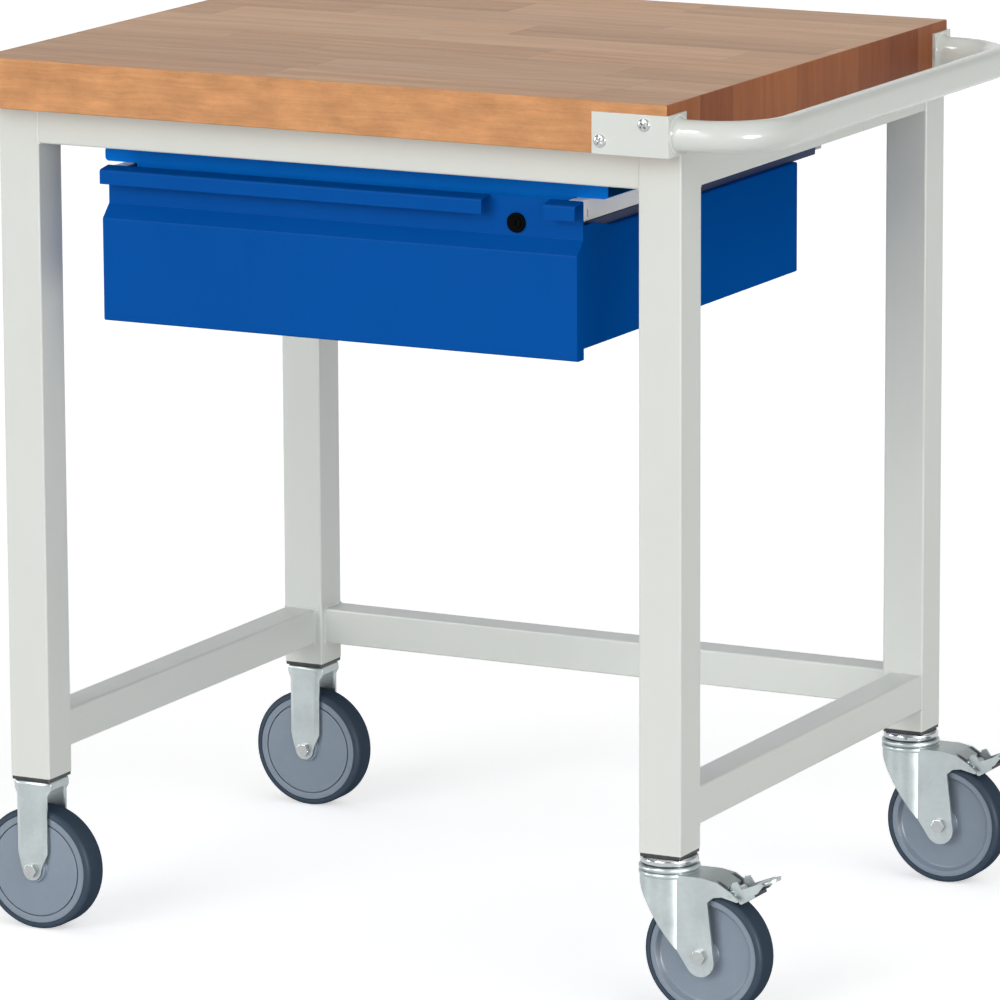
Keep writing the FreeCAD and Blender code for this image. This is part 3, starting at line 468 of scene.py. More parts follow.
def skin_material(name, group, colour, roughness, mottle, bump, depth, gloss=0.5, metal=0.0, fade=False,
                  extra=None):
    """A material whose colour, roughness and bump come from one of the skin groups; fade takes the gloss
    away where the surface is seen at a slant."""
    material, tree = new_material(name)
    where = put(tree, "ShaderNodeTexCoord").outputs["Object"]
    skin = put(tree, "ShaderNodeGroup", node_tree=group)
    tree.links.new(where, skin.inputs["Vector"])
    settings = {"Colour": (*colour, 1.0), "Roughness": roughness, "Mottle": mottle, **(extra or {})}
    for label, value in settings.items():
        skin.inputs[label].default_value = value
    height = skin.outputs["Height"]
    relief = put(tree, "ShaderNodeBump", {"Strength": bump, "Distance": depth, "Height": height})
    surface = put(tree, "ShaderNodeBsdfPrincipled", {"Base Color": skin.outputs["Colour"],
                                                     "Roughness": skin.outputs["Roughness"],
                                                     "Metallic": metal, "Specular IOR Level": gloss,
                                                     "Normal": relief.outputs[0]})
    if fade:
        slant = put(tree, "ShaderNodeLayerWeight", {"Blend": MIDDLE}).outputs["Facing"]
        faded = spread(tree, slant, *SLANT_FADE, gloss, 0.0)
        tree.links.new(faded, surface.inputs["Specular IOR Level"])
    put(tree, "ShaderNodeOutputMaterial", {"Surface": surface.outputs[0]})
    return material


def beech_material():
    """Edge-glued beech: staves along x, end grain on the ends of the slab."""
    material, tree = new_material("beech_staves")
    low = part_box("worktop")[0]
    coords = put(tree, "ShaderNodeTexCoord")
    where = vector_maths(tree, "SUBTRACT", coords.outputs["Object"], tuple(low))
    x, y, z = put(tree, "ShaderNodeSeparateXYZ", {0: where}).outputs[:3]

    # Rows of staves across the slab, each row cut at places of its own
    row_place = maths(tree, "DIVIDE", y, STAVE_WIDTH)
    row = maths(tree, "FLOOR", row_place)
    in_row = maths(tree, "SUBTRACT", row_place, row)
    row_random = put(tree, "ShaderNodeTexWhiteNoise", {"W": row}, noise_dimensions="1D").outputs["Value"]
    shift = maths(tree, "MULTIPLY", row_random, ROW_SHIFT)
    along = maths(tree, "ADD", maths(tree, "DIVIDE", x, STAVE_LENGTH), shift)
    length = maths(tree, "FLOOR", along)
    in_length = maths(tree, "SUBTRACT", along, length)
    key = put(tree, "ShaderNodeCombineXYZ", {0: row, 1: length}).outputs[0]
    chance = put(tree, "ShaderNodeTexWhiteNoise", {"Vector": key}, noise_dimensions="3D").outputs["Color"]
    tone, tint, turn = put(tree, "ShaderNodeSeparateColor", {0: chance}).outputs[:3]
    own = vector_maths(tree, "ADD", where, scaled(tree, chance, STAVE_APART))

    # Long grain: bands, fine fibres and the short dark flecks of beech
    bent = swayed(tree, own, BEND_SCALE, BEND_SWAY)
    bands = grain(tree, bent, BAND_STRETCH, detail=5.0, roughness=0.62)
    fibres = grain(tree, own, FIBRE_STRETCH, detail=3.0, roughness=0.6)
    flecks = spread(tree, grain(tree, own, FLECK_STRETCH, detail=1.0), *FLECK_FROM)
    start = maths(tree, "MULTIPLY_ADD", tone, TONE_SHARE, TONE_START)
    ramp = maths(tree, "MULTIPLY_ADD", bands, BAND_SHARE, start)
    ramp = swung(tree, fibres, FIBRE_SHARE, ramp)
    light = blended(tree, spread(tree, ramp, *WARM_FROM), BEECH_PALE, BEECH_WARM)
    light = blended(tree, spread(tree, ramp, *DARK_FROM, 0.0, DARK_SHARE), light, BEECH_DARK)
    light = blended(tree, maths(tree, "MULTIPLY", flecks, FLECK_SHARE), light, BEECH_DARK)
    light = toned(tree, light, spread(tree, tint, 0.0, 1.0, *TINT_RANGE))

    # End grain: growth rings about a centre well to one side of each stave, so they stand nearly upright
    centre = put(tree, "ShaderNodeCombineXYZ", {1: maths(tree, "MULTIPLY_ADD", turn, *RING_CENTRE_ACROSS),
                                                2: maths(tree, "MULTIPLY_ADD", tint, *RING_CENTRE_UP)})
    across = maths(tree, "MULTIPLY", in_row, STAVE_WIDTH)
    inside = put(tree, "ShaderNodeCombineXYZ", {1: across, 2: z})
    radius = vector_maths(tree, "DISTANCE", inside.outputs[0], centre.outputs[0])
    warp = maths(tree, "MULTIPLY", noise(tree, own, RING_WARP_SCALE, detail=2.0), RING_WARP)
    rings = maths(tree, "SINE", maths(tree, "MULTIPLY_ADD", radius, RING_PITCH, warp))
    pores = noise(tree, own, PORE_SCALE, detail=2.0)
    streaks = grain(tree, own, END_STREAK_STRETCH, detail=3.0, roughness=0.6)
    dark = maths(tree, "MULTIPLY_ADD", pores, PORE_SHARE, END_START)
    dark = maths(tree, "MULTIPLY_ADD", rings, RING_SHARE, dark)
    dark = maths(tree, "MULTIPLY_ADD", streaks, END_STREAK_SHARE, dark)
    dark = swung(tree, tone, END_TONE_SHARE, dark)
    ends = blended(tree, spread(tree, dark, *END_FROM), BEECH_END, BEECH_END_PALE)

    facing = put(tree, "ShaderNodeSeparateXYZ", {0: coords.outputs["Normal"]}).outputs
    is_end = spread(tree, maths(tree, "ABSOLUTE", facing[0]), *FACING_FROM)
    is_edge = spread(tree, maths(tree, "ABSOLUTE", facing[1]), *FACING_FROM)

    # Long edges: one pale stave with fine level grain
    level_place = swayed(tree, where, EDGE_SWAY_SCALE, EDGE_SWAY)
    level_grain = grain(tree, level_place, EDGE_GRAIN_STRETCH, detail=4.0, roughness=0.62)
    slow_tone = grain(tree, where, EDGE_CLOUD_STRETCH, detail=4.0, roughness=0.55)
    edge_tone = swung(tree, level_grain, EDGE_GRAIN_SHARE, 1.0)
    edge_tone = swung(tree, slow_tone, EDGE_CLOUD_SHARE, edge_tone)
    edge = toned(tree, BEECH_EDGE, maths(tree, "MULTIPLY_ADD", flecks, EDGE_FLECK_SHARE, edge_tone))
    colour = blended(tree, is_edge, blended(tree, is_end, light, ends), edge)

    # Glue lines between rows and at the staves' ends
    row_line = spread(tree, from_middle(tree, in_row), *ROW_LINE)
    end_line = spread(tree, from_middle(tree, in_length), *END_LINE)
    end_line = maths(tree, "MULTIPLY", end_line, maths(tree, "SUBTRACT", 1.0, is_end))
    line = maths(tree, "MAXIMUM", row_line, end_line)
    line = maths(tree, "MULTIPLY", line, maths(tree, "SUBTRACT", 1.0, is_edge))
    colour = blended(tree, maths(tree, "MULTIPLY", line, GLUE_SHARE), colour, BEECH_GLUE)

    height = maths(tree, "MULTIPLY_ADD", flecks, FLECK_RELIEF, fibres)
    height = maths(tree, "MULTIPLY_ADD", line, GLUE_RELIEF, height)
    relief = put(tree, "ShaderNodeBump", {"Strength": GRAIN_BUMP, "Distance": GRAIN_DEPTH,
                                          "Height": height})
    rough = maths(tree, "MULTIPLY_ADD", fibres, FIBRE_ROUGH, BEECH_ROUGH)
    sawn = maths(tree, "MAXIMUM", is_end, is_edge)
    gloss = maths(tree, "MULTIPLY_ADD", sawn, SAWN_GLOSS, BEECH_GLOSS)
    surface = put(tree, "ShaderNodeBsdfPrincipled", {"Base Color": colour, "Roughness": rough,
                                                     "Specular IOR Level": gloss,
                                                     "Normal": relief.outputs[0]})
    put(tree, "ShaderNodeOutputMaterial", {"Surface": surface.outputs[0]})
    return material


# Looks of the slots: roughness and mottling, then strength and depth of the relief
COAT = powder_coat_group()
METAL = zinc_group()
MOULDED = moulded_group()
CLEAN = {"Dust": 0.0}
MATT = {"gloss": 0.03, "fade": True}
LOOKS = {
    "frame_paint": skin_material("frame_coat", COAT, PAINT_GREY, 0.335, 0.04, 0.10, 0.0003),
    "handle_paint": skin_material("handle_coat", COAT, PAINT_GREY, 0.18, 0.04, 0.10, 0.0003),
    "beech": beech_material(),
    "screw_zinc": skin_material("fastener_zinc", METAL, BOLT_ZINC, 0.19, 0.25, 0.08, 0.0002, metal=1.0),
    "cap_black": skin_material("cap_moulding", MOULDED, CAP_BLACK, 0.42, 0.3, 0.15, 0.0002),
    "drawer_blue": skin_material("drawer_coat", COAT, PAINT_BLUE, 0.35, 0.10, 0.10, 0.0003, **MATT),
    # The guide's coat carries painted light: near-white and warm against the shade under the worktop
    "guide_grey": skin_material("guide_coat", COAT, GUIDE_GREY_PAINTED_LIGHT, 0.40, 0.05, 0.08, 0.0003),
    "stop_plastic": skin_material("stop_moulding", MOULDED, STOP_GREY, 0.45, 0.1, 0.12, 0.0002),
    "lock_black": skin_material("lock_moulding", MOULDED, LOCK_BLACK, 0.36, 0.3, 0.12, 0.0002, gloss=0.02,
                                extra=CLEAN),
    "lock_steel": skin_material("lock_zinc", METAL, BOLT_ZINC, 0.36, 0.25, 0.08, 0.0002, metal=1.0),
    "fork_zinc": skin_material("fork_zinc", METAL, ZINC, 0.35, 0.16, 0.07, 0.0003, metal=0.9),
    "race_steel": skin_material("race_zinc", METAL, BRIGHT_ZINC, 0.14, 0.12, 0.04, 0.0002, metal=1.0),
    "rim_plastic": skin_material("rim_moulding", MOULDED, RIM_GREY, 0.35, 0.06, 0.06, 0.0002, gloss=0.35),
    "tyre_rubber": skin_material("tyre_moulding", MOULDED, TYRE_SLATE, 0.46, 0.10, 0.12, 0.0002, gloss=0.10,
                                 fade=True, extra=CLEAN),
    "pedal_zinc": skin_material("pedal_zinc", METAL, ZINC, 0.35, 0.16, 0.07, 0.0003, metal=0.9),
}

# Pieces that share a slot with others and have a look of their own: the brake lining's rubber, the cover's
# coat written lighter as painted light, the runners' coat written darker as painted shade
LINING_RUBBER = skin_material("lining_rubber", MOULDED, LINING_BLACK, 0.5, 0.3, 0.15, 0.0002)
COVER_COAT_PAINTED_LIGHT = skin_material("cover_coat", COAT, COVER_BLUE_PAINTED_LIGHT, 0.35, 0.10, 0.10, 0.0003, **MATT)
# Runners' coat: a dark copy of the drawer's blue, painted shade
RUNNER_COAT_PAINTED_SHADE = skin_material("runner_coat", COAT, RUNNER_BLUE_PAINTED_SHADE, 0.38, 0.10, 0.10, 0.0003, gloss=0.1)
OWN_LOOKS = {"drawer_runner_left": RUNNER_COAT_PAINTED_SHADE, "drawer_runner_right": RUNNER_COAT_PAINTED_SHADE,
             "drawer_cover": COVER_COAT_PAINTED_LIGHT}

for name, node in NODES.items():
    node.data.materials.clear()
    node.data.materials.append(OWN_LOOKS.get(name) or LOOKS[SLOT_OF[name]])


# Mesh helpers
def shaded(mesh):
    """Smooth shading that keeps real edges crisp."""
    mesh.shade_smooth()
    mesh.set_sharp_from_angle(angle=SHARP_ANGLE)
    return mesh


def to_mesh(name, bm):
    bmesh.ops.remove_doubles(bm, verts=bm.verts, dist=MERGE)
    bmesh.ops.recalc_face_normals(bm, faces=bm.faces)
    mesh = bpy.data.meshes.new(name)
    bm.to_mesh(mesh)
    bm.free()
    return shaded(mesh)


def placed(name, data):
    """A new object in the scene, at the origin."""
    made = bpy.data.objects.new(name, data)
    bpy.context.scene.collection.objects.link(made)
    return made


def joined_on(name, mesh, body, slot, stands_for=(), look=None):
    """A finished piece: rides on a body, takes its look from a slot, may stand for CAD nodes."""
    mesh.materials.clear()
    mesh.materials.append(look or LOOKS[slot])
    piece = placed(name, mesh)
    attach(piece, body)
    if stands_for:
        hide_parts(*stands_for)


def evaluated_mesh(holder):
    """The object's mesh with its modifiers in it."""
    return bpy.data.meshes.new_from_object(holder.evaluated_get(bpy.context.evaluated_depsgraph_get()))


def rounded_outline(corners, steps=5):
    """Points of a closed outline; each corner is (x, y, radius)."""
    points = []
    for i, (x, y, radius) in enumerate(corners):
        here = Vector((x, y))
        if not radius:
            points.append(here)
            continue
        before = (Vector(corners[i - 1][:2]) - here).normalized()
        after = (Vector(corners[(i + 1) % len(corners)][:2]) - here).normalized()
        half = before.angle(after) / 2
        centre = here + (before + after).normalized() * (radius / math.sin(half))
        start = here + before * (radius / math.tan(half)) - centre
        end = here + after * (radius / math.tan(half)) - centre
        turn = math.atan2(start.x * end.y - start.y * end.x, start.dot(end))
        for k in range(steps + 1):
            points.append(centre + Matrix.Rotation(turn * k / steps, 2) @ start)
    return points


def lathed(name, outline, centre, axis="y"):
    """Turns a closed outline of (radius, along) points about a line through the centre."""
    bm = bmesh.new()
    rings = []
    for k in range(WHEEL_STEPS):
        a, b = math.cos(2 * math.pi * k / WHEEL_STEPS), math.sin(2 * math.pi * k / WHEEL_STEPS)
        ring = []
        for r, w in outline:
            place = {"x": (w, r * a, r * b), "y": (r * a, w, r * b), "z": (r * a, r * b, w)}[axis]
            ring.append(bm.verts.new(centre + Vector(place)))
        rings.append(ring)
    count = len(outline)
    for k, ring in enumerate(rings):
        following = rings[(k + 1) % WHEEL_STEPS]
        for i in range(count):
            j = (i + 1) % count
            bm.faces.new((ring[i], ring[j], following[j], following[i]))
    return to_mesh(name, bm)


def edge_mesh(name, runs):
    """A mesh of bare edges, one chain of points for each run."""
    points, edges = [], []
    for run in runs:
        edges += [(len(points) + k, len(points) + k + 1) for k in range(len(run) - 1)]
        points += run
    mesh = bpy.data.meshes.new(name)
    mesh.from_pydata(points, edges, [])
    return mesh


# Geometry trees
def new_tree(name, inputs):
    tree = bpy.data.node_groups.new(name, "GeometryNodeTree")
    for label, kind, value in [("Geometry", "Geometry", None)] + inputs:
        socket = tree.interface.new_socket(label, in_out="INPUT", socket_type="NodeSocket" + kind)
        if value is not None:
            socket.default_value = value
    tree.interface.new_socket("Geometry", in_out="OUTPUT", socket_type="NodeSocketGeometry")
    return tree, put(tree, "NodeGroupInput").outputs


def close_tree(tree, geometry, material):
    """Realize Instances and Set Material, then the output."""
    plain = put(tree, "GeometryNodeRealizeInstances", {"Geometry": geometry}).outputs[0]
    painted = put(tree, "GeometryNodeSetMaterial", {"Geometry": plain, "Material": material}).outputs[0]
    put(tree, "NodeGroupOutput", {"Geometry": painted})
    return tree


def bent_tube_tree():
    """A round tube along a line of points, its corners bent to one radius."""
    inputs = [("Tube Radius", "Float", None), ("Bend Radius", "Float", HANDLE_BEND),
              ("Bend Steps", "Int", HANDLE_BEND_STEPS), ("Sides", "Int", HANDLE_SIDES),
              ("Step", "Float", HANDLE_STEP), ("Material", "Material", None)]
    tree, given = new_tree("bent_tube", inputs)
    line = put(tree, "GeometryNodeMeshToCurve", {"Mesh": given["Geometry"]}).outputs[0]
    bends = put(tree, "GeometryNodeFilletCurve", {"Curve": line, "Radius": given["Bend Radius"],
                                                  "Count": given["Bend Steps"]}, mode="POLY").outputs[0]
    ring = put(tree, "GeometryNodeCurvePrimitiveCircle", {"Resolution": given["Sides"],
                                                          "Radius": given["Tube Radius"]}).outputs[0]
    even = put(tree, "GeometryNodeResampleCurve", {"Curve": bends, "Length": given["Step"]}, mode="LENGTH")
    tube = put(tree, "GeometryNodeCurveToMesh", {"Curve": even.outputs[0],
                                                 "Profile Curve": ring}).outputs[0]
    return close_tree(tree, tube, given["Material"])


def weld_tree():
    """A run of overlapping weld beads along each chain of edges."""
    tree, given = new_tree("weld_run", [("Bead Radius", "Float", WELD_BEAD), ("Pitch", "Float", WELD_PITCH),
                                        ("Seed", "Int", WELD_SEED), ("Material", "Material", None)])
    least, most = WELD_UNEVEN
    line = put(tree, "GeometryNodeMeshToCurve", {"Mesh": given["Geometry"]}).outputs[0]
    steps = put(tree, "GeometryNodeResampleCurve", {"Curve": line, "Length": given["Pitch"]}, mode="LENGTH")
    bead = put(tree, "GeometryNodeMeshIcoSphere", {"Radius": given["Bead Radius"],
                                                   "Subdivisions": WELD_BEAD_DETAIL}).outputs[0]
    chance = put(tree, "FunctionNodeRandomValue", {2: least, 3: most, "Seed": given["Seed"]},
                 data_type="FLOAT")
    beads = put(tree, "GeometryNodeInstanceOnPoints", {"Points": steps.outputs[0], "Instance": bead,
                                                       "Scale": chance.outputs[1]}).outputs[0]
    return close_tree(tree, beads, given["Material"])


def fastener_tree():
    """One head on each point, turned to face along the point's facing and spun at random."""
    tree, given = new_tree("fastener_set", [("Head", "Object", None), ("Seed", "Int", SCREW_SEED),
                                            ("Material", "Material", None)])
    head = put(tree, "GeometryNodeObjectInfo", {"Object": given["Head"]}).outputs["Geometry"]
    facing = put(tree, "GeometryNodeInputNamedAttribute", {"Name": "facing"}, data_type="FLOAT_VECTOR")
    turn = put(tree, "FunctionNodeAlignRotationToVector", {"Vector": facing.outputs[0]},
               axis="Z").outputs[0]
    heads = put(tree, "GeometryNodeInstanceOnPoints", {"Points": given["Geometry"], "Instance": head,
                                                       "Rotation": turn}).outputs[0]
    angle = put(tree, "FunctionNodeRandomValue", {2: 0.0, 3: math.pi / 2, "Seed": given["Seed"]},
                data_type="FLOAT")
    about = put(tree, "ShaderNodeCombineXYZ", {2: angle.outputs[1]}).outputs[0]
    spun = put(tree, "GeometryNodeRotateInstances", {"Instances": heads, "Rotation": about}).outputs[0]
    return close_tree(tree, spun, given["Material"])


def spring_tree():
    """A coil of wire about the y axis, from each point of the mesh."""
    inputs = [("Coil Radius", "Float", SPRING_COIL), ("Wire Radius", "Float", SPRING_WIRE),
              ("Turns", "Float", SPRING_TURNS), ("Length", "Float", SPRING_LENGTH),
              ("Material", "Material", None)]
    tree, given = new_tree("coil_spring", inputs)
    coil = put(tree, "GeometryNodeCurveSpiral", {"Resolution": SPRING_TURN_STEPS,
                                                 "Rotations": given["Turns"],
                                                 "Start Radius": given["Coil Radius"],
                                                 "End Radius": given["Coil Radius"],
                                                 "Height": given["Length"]}).outputs[0]
    lying = put(tree, "GeometryNodeTransform", {"Geometry": coil, "Rotation": (math.radians(90), 0.0, 0.0)})
    wire = put(tree, "GeometryNodeCurvePrimitiveCircle", {"Resolution": SPRING_WIRE_SIDES,
                                                          "Radius": given["Wire Radius"]}).outputs[0]
    tube = put(tree, "GeometryNodeCurveToMesh", {"Curve": lying.outputs[0], "Profile Curve": wire,
                                                 "Fill Caps": True}).outputs[0]
    springs = put(tree, "GeometryNodeInstanceOnPoints", {"Points": given["Geometry"], "Instance": tube})
    return close_tree(tree, springs.outputs[0], given["Material"])


def grown(name, tree, start, **sizes):
    """Runs a geometry tree on a mesh and gives the result back as a plain mesh."""
    holder = placed(name, start)
    modifier = holder.modifiers.new(tree.name, "NODES")
    modifier.node_group = tree
    for socket in tree.interface.items_tree:
        label = socket.name.replace(" ", "_").lower()
        if socket.in_out == "INPUT" and label in sizes:
            modifier[socket.identifier] = sizes[label]
    mesh = evaluated_mesh(holder)
    bpy.data.objects.remove(holder)
    mesh.name = name
    return shaded(mesh)


# Push handle: one bent tube between its brackets, flared at the welds
def push_handle():
    low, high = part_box("handle_tube")
    radius = (high.z - low.z) / 2
    right = high.x - radius
    near, far = low.y + radius, high.y - radius
    level = low.z + radius
    route = [(low.x, near, level), (right, near, level), (right, far, level), (low.x, far, level)]
    mesh = grown("push_handle", bent_tube_tree(), edge_mesh("handle_route", [route]), tube_radius=radius,
                 material=LOOKS["handle_paint"])
    joined_on("push_handle", mesh, "frame", "handle_paint", ["handle_tube"])
    flare = [(radius - FLARE_SINK, 0.0), (radius + HANDLE_FLARE, 0.0)]
    for angle in FLARE_ANGLES:
        turn = math.radians(angle)
        flare.append((radius + HANDLE_FLARE * (1 - math.sin(turn)), FLARE_LENGTH * (1 - math.cos(turn))))
    flare.append((radius - FLARE_SINK, FLARE_LENGTH))
    for place, y in zip(PLACES, (near, far)):
        ring = lathed("handle_weld_" + place, flare, Vector((low.x, y, level)), "x")
        joined_on("handle_weld_" + place, ring, "frame", "handle_paint")


def ring_run(centre, radius):
    """A closed run of points about the x axis."""
    angles = [2 * math.pi * k / WELD_RING_STEPS for k in range(WELD_RING_STEPS + 1)]
    return [centre + Vector((0.0, radius * math.cos(a), radius * math.sin(a))) for a in angles]


def weld_runs():
    """Welds round the handle's ends and along the inner corners where the rails meet the legs."""
    low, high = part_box("handle_tube")
    radius = (high.z - low.z) / 2
    runs = []
    for y in (low.y + radius, high.y - radius):
        runs.append(ring_run(Vector((low.x, y, low.z + radius)), radius + HANDLE_FLARE))
    for node in [name for name in NODES if name.startswith("rail_")]:
        low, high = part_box(node)
        across = high.x - low.x > high.y - low.y
        inner = (low.y if low.y > 0 else high.y) if across else (low.x if low.x > 0 else high.x)
        sides = (low.y, high.y) if across else (low.x, high.x)
        levels = (low.z, high.z)
        for end in ((low.x, high.x) if across else (low.y, high.y)):
            corners = [[(side, level) for side in sides] for level in levels]
            corners.append([(inner, level) for level in levels])
            for run in corners:
                runs.append([Vector((end, s, z)) if across else Vector((s, end, z)) for s, z in run])
    return runs


def frame_welds():
    mesh = grown("frame_welds", weld_tree(), edge_mesh("weld_runs", weld_runs()),
                 material=LOOKS["frame_paint"])
    joined_on("frame_welds", mesh, "frame", "frame_paint")


# Bracket screws: pan heads with a cross
def pan_head():
    """A domed head on the origin, facing +z, with a cross sunk into it."""
    outline = [Vector((SCREW_MIDDLE, SCREW_HEIGHT))]
    for k in range(1, SCREW_DOME_STEPS + 1):
        a = math.pi / 2 * k / SCREW_DOME_STEPS
        rise = SCREW_RIM_SHARE + (1 - SCREW_RIM_SHARE) * math.cos(a)
        outline.append(Vector((SCREW_HEAD * math.sin(a), SCREW_HEIGHT * rise)))
    outline += [Vector((SCREW_HEAD, 0.0)), Vector((SCREW_MIDDLE, 0.0))]
    head = placed("pan_head", lathed("pan_head", outline, Vector(), "z"))
    for half_x, half_y in ((SCREW_CROSS, SCREW_CROSS_HALF), (SCREW_CROSS_HALF, SCREW_CROSS)):
        bm = bmesh.new()
        bmesh.ops.create_cube(bm, size=2.0)
        bmesh.ops.scale(bm, vec=(half_x, half_y, SCREW_CROSS_DEPTH), verts=bm.verts)
        bmesh.ops.translate(bm, vec=(0.0, 0.0, SCREW_HEIGHT), verts=bm.verts)
        cutter = placed("cross_cutter", to_mesh("cross_cutter", bm))
        cut = head.modifiers.new("cross", "BOOLEAN")
        cut.object = cutter
        cut.operation = "DIFFERENCE"
        cut.solver = "EXACT"
        mesh = evaluated_mesh(head)
        head.modifiers.clear()
        head.data = shaded(mesh)
        bpy.data.objects.remove(cutter)
    return head


def bracket_screw_sites():
    """The places of the heads on the two bracket plates, taken from the CAD screws' boxes."""
    low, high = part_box("bracket_screws")
    left, right = low.x + SCREW_INSET, high.x - SCREW_INSET
    bottom, top = low.z + SCREW_INSET, high.z - SCREW_INSET
    sites = []
    for y, way in ((low.y + SCREW_HEIGHT, -1.0), (high.y - SCREW_HEIGHT, 1.0)):
        sites += [((left, y, bottom), (0.0, way, 0.0)), ((right, y, top), (0.0, way, 0.0))]
    return sites


def bracket_screw_heads():
    sites = bracket_screw_sites()
    points = bpy.data.meshes.new("screw_sites")
    points.from_pydata([place for place, facing in sites], [], [])
    ways = points.attributes.new("facing", "FLOAT_VECTOR", "POINT")
    for way, (place, facing) in zip(ways.data, sites):
        way.vector = facing
    head = pan_head()
    mesh = grown("bracket_screw_heads", fastener_tree(), points, head=head, material=LOOKS["screw_zinc"])
    bpy.data.objects.remove(head)
    joined_on("bracket_screw_heads", mesh, "frame", "screw_zinc", ["bracket_screws"])


# Wheels
def mirrored(half):
    """A closed outline from one half, given from the axle outwards as (radius, half width, rounding)."""
    return rounded_outline(half + [(r, -w, rounding) for r, w, rounding in half[::-1]])


def wheel_core(node, dished):
    low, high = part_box(node)
    tyre_low, tyre_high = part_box(node.replace("wheel", "tyre"))
    centre = (low + high) / 2
    radius = (tyre_high.x - tyre_low.x) / 2 - TYRE_SIDE - RIM_GAP
    half = (high.y - low.y) / 2
    face = half - RIM_SET_BACK
    outline = [(AXLE_BORE, half, 0.0), (HUB_RADIUS, half, HUB_EDGE)]
    if dished:
        band, floor = radius - DISH_BAND, face - DISH_DEPTH
        outline += [(HUB_RADIUS + DISH_HUB_FOOT, floor, DISH_HUB_ROUND),
                    (band - DISH_SLOPE, floor, DISH_ROUND),
                    (band, face, RIM_EDGE), (radius, face, RIM_EDGE)]
    else:
        band, floor = radius - GROOVE_BAND, face - GROOVE_DEPTH
        outline += [(HUB_RADIUS + HUB_FOOT, face, HUB_FOOT_ROUND), (band - GROOVE_WIDTH, face, GROOVE_EDGE),
                    (band - GROOVE_WIDTH, floor, 0.0), (band, floor, 0.0),
                    (band, face, GROOVE_EDGE), (radius, face, RIM_EDGE)]
    return lathed(node + "_turned", mirrored(outline), centre)


def tyre(node):
    low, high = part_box(node)
    centre = (low + high) / 2
    radius, half = (high.x - low.x) / 2, (high.y - low.y) / 2
    inner = radius - TYRE_SIDE
    corners = [(inner, half, TYRE_EDGE), (radius, half, TYRE_SHOULDER),
               (radius, -half, TYRE_SHOULDER), (inner, -half, TYRE_EDGE)]
    return lathed(node + "_turned", rounded_outline(corners, TYRE_ROUND_STEPS), centre)


def wheels():
    for place in PLACES:
        for kind in ("fixed", "swivel"):
            core, rubber = kind + "_wheel_" + place, kind + "_tyre_" + place
            turned = wheel_core(core, kind == "swivel")
            joined_on(core + "_core", turned, BODY_OF[core], "rim_plastic", [core])
            joined_on(rubber + "_tread", tyre(rubber), BODY_OF[rubber], "tyre_rubber", [rubber])


# Pedal springs, tongues and brake linings
def pedal_springs():
    tree = spring_tree()
    for place in PLACES:
        low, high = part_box("pedal_pin_" + place)
        middle = (low + high) / 2
        points = bpy.data.meshes.new("spring_sites")
        points.from_pydata([(middle.x, middle.y + SPRING_LENGTH / 2, middle.z)], [], [])
        mesh = grown("pedal_spring_" + place, tree, points, material=LOOKS["screw_zinc"])
        joined_on("pedal_spring_" + place, mesh, "pedal_" + place, "screw_zinc")


def tongue(name, start):
    """The pedal's tongue: a rounded blade that rises to a round tip."""
    bm = bmesh.new()
    rings = []
    slope = (TONGUE_TIP - TONGUE_ROOT).normalized()
    for k in range(TONGUE_STEPS + 1):
        t = k / TONGUE_STEPS
        rounding = max(0.0, (t - TONGUE_ROUND_FROM) / (1.0 - TONGUE_ROUND_FROM))
        end = math.sqrt(max(0.0, 1.0 - rounding ** 2))
        width = max(TONGUE_HALF * end, TONGUE_TIP_HALF)
        thick = TONGUE_THICK * (TONGUE_THIN_SHARE + (1 - TONGUE_THIN_SHARE) * end)
        middle = TONGUE_ROOT.lerp(TONGUE_TIP, t)
        ring = []
        for i in range(TONGUE_SIDES):
            a = 2 * math.pi * i / TONGUE_SIDES
            side = math.copysign(abs(math.cos(a)) ** TONGUE_SIDE_POWER, math.cos(a)) * width
            rise = math.copysign(abs(math.sin(a)) ** TONGUE_FACE_POWER, math.sin(a)) * thick
            place = Vector((middle.x - slope.y * rise, side, middle.y + slope.x * rise))
            ring.append(bm.verts.new(start + place))
        rings.append(ring)
    for first, second in zip(rings, rings[1:]):
        for i in range(TONGUE_SIDES):
            j = (i + 1) % TONGUE_SIDES
            bm.faces.new((first[i], first[j], second[j], second[i]))
    bm.faces.new(rings[0])
    bm.faces.new(rings[-1])
    return to_mesh(name, bm)


def slab(name, outline, start, half, along="y"):
    """An upright outline drawn out by half the width to either side of the start, along y or x."""
    bm = bmesh.new()
    sides = []
    for out in (-half, half):
        places = [(u, out, w) if along == "y" else (out, u, w) for u, w in outline]
        sides.append([bm.verts.new(start + Vector(place)) for place in places])
    bm.faces.new(sides[0])
    bm.faces.new(sides[1])
    for i in range(len(outline)):
        j = (i + 1) % len(outline)
        bm.faces.new((sides[0][i], sides[0][j], sides[1][j], sides[1][i]))
    return to_mesh(name, bm)


def pedal_pieces():
    for place in PLACES:
        low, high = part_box("swivel_race_" + place)
        start = (low + high) / 2
        start.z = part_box("swivel_tyre_" + place)[1].z
        body = "pedal_" + place
        joined_on("pedal_tongue_" + place, tongue("pedal_tongue_" + place, start), body, "pedal_zinc")
        outline = rounded_outline(LINING, LINING_ROUND_STEPS)
        lining = slab("brake_lining_" + place, outline, start, LINING_HALF)
        joined_on("brake_lining_" + place, lining, body, "tyre_rubber", look=LINING_RUBBER)


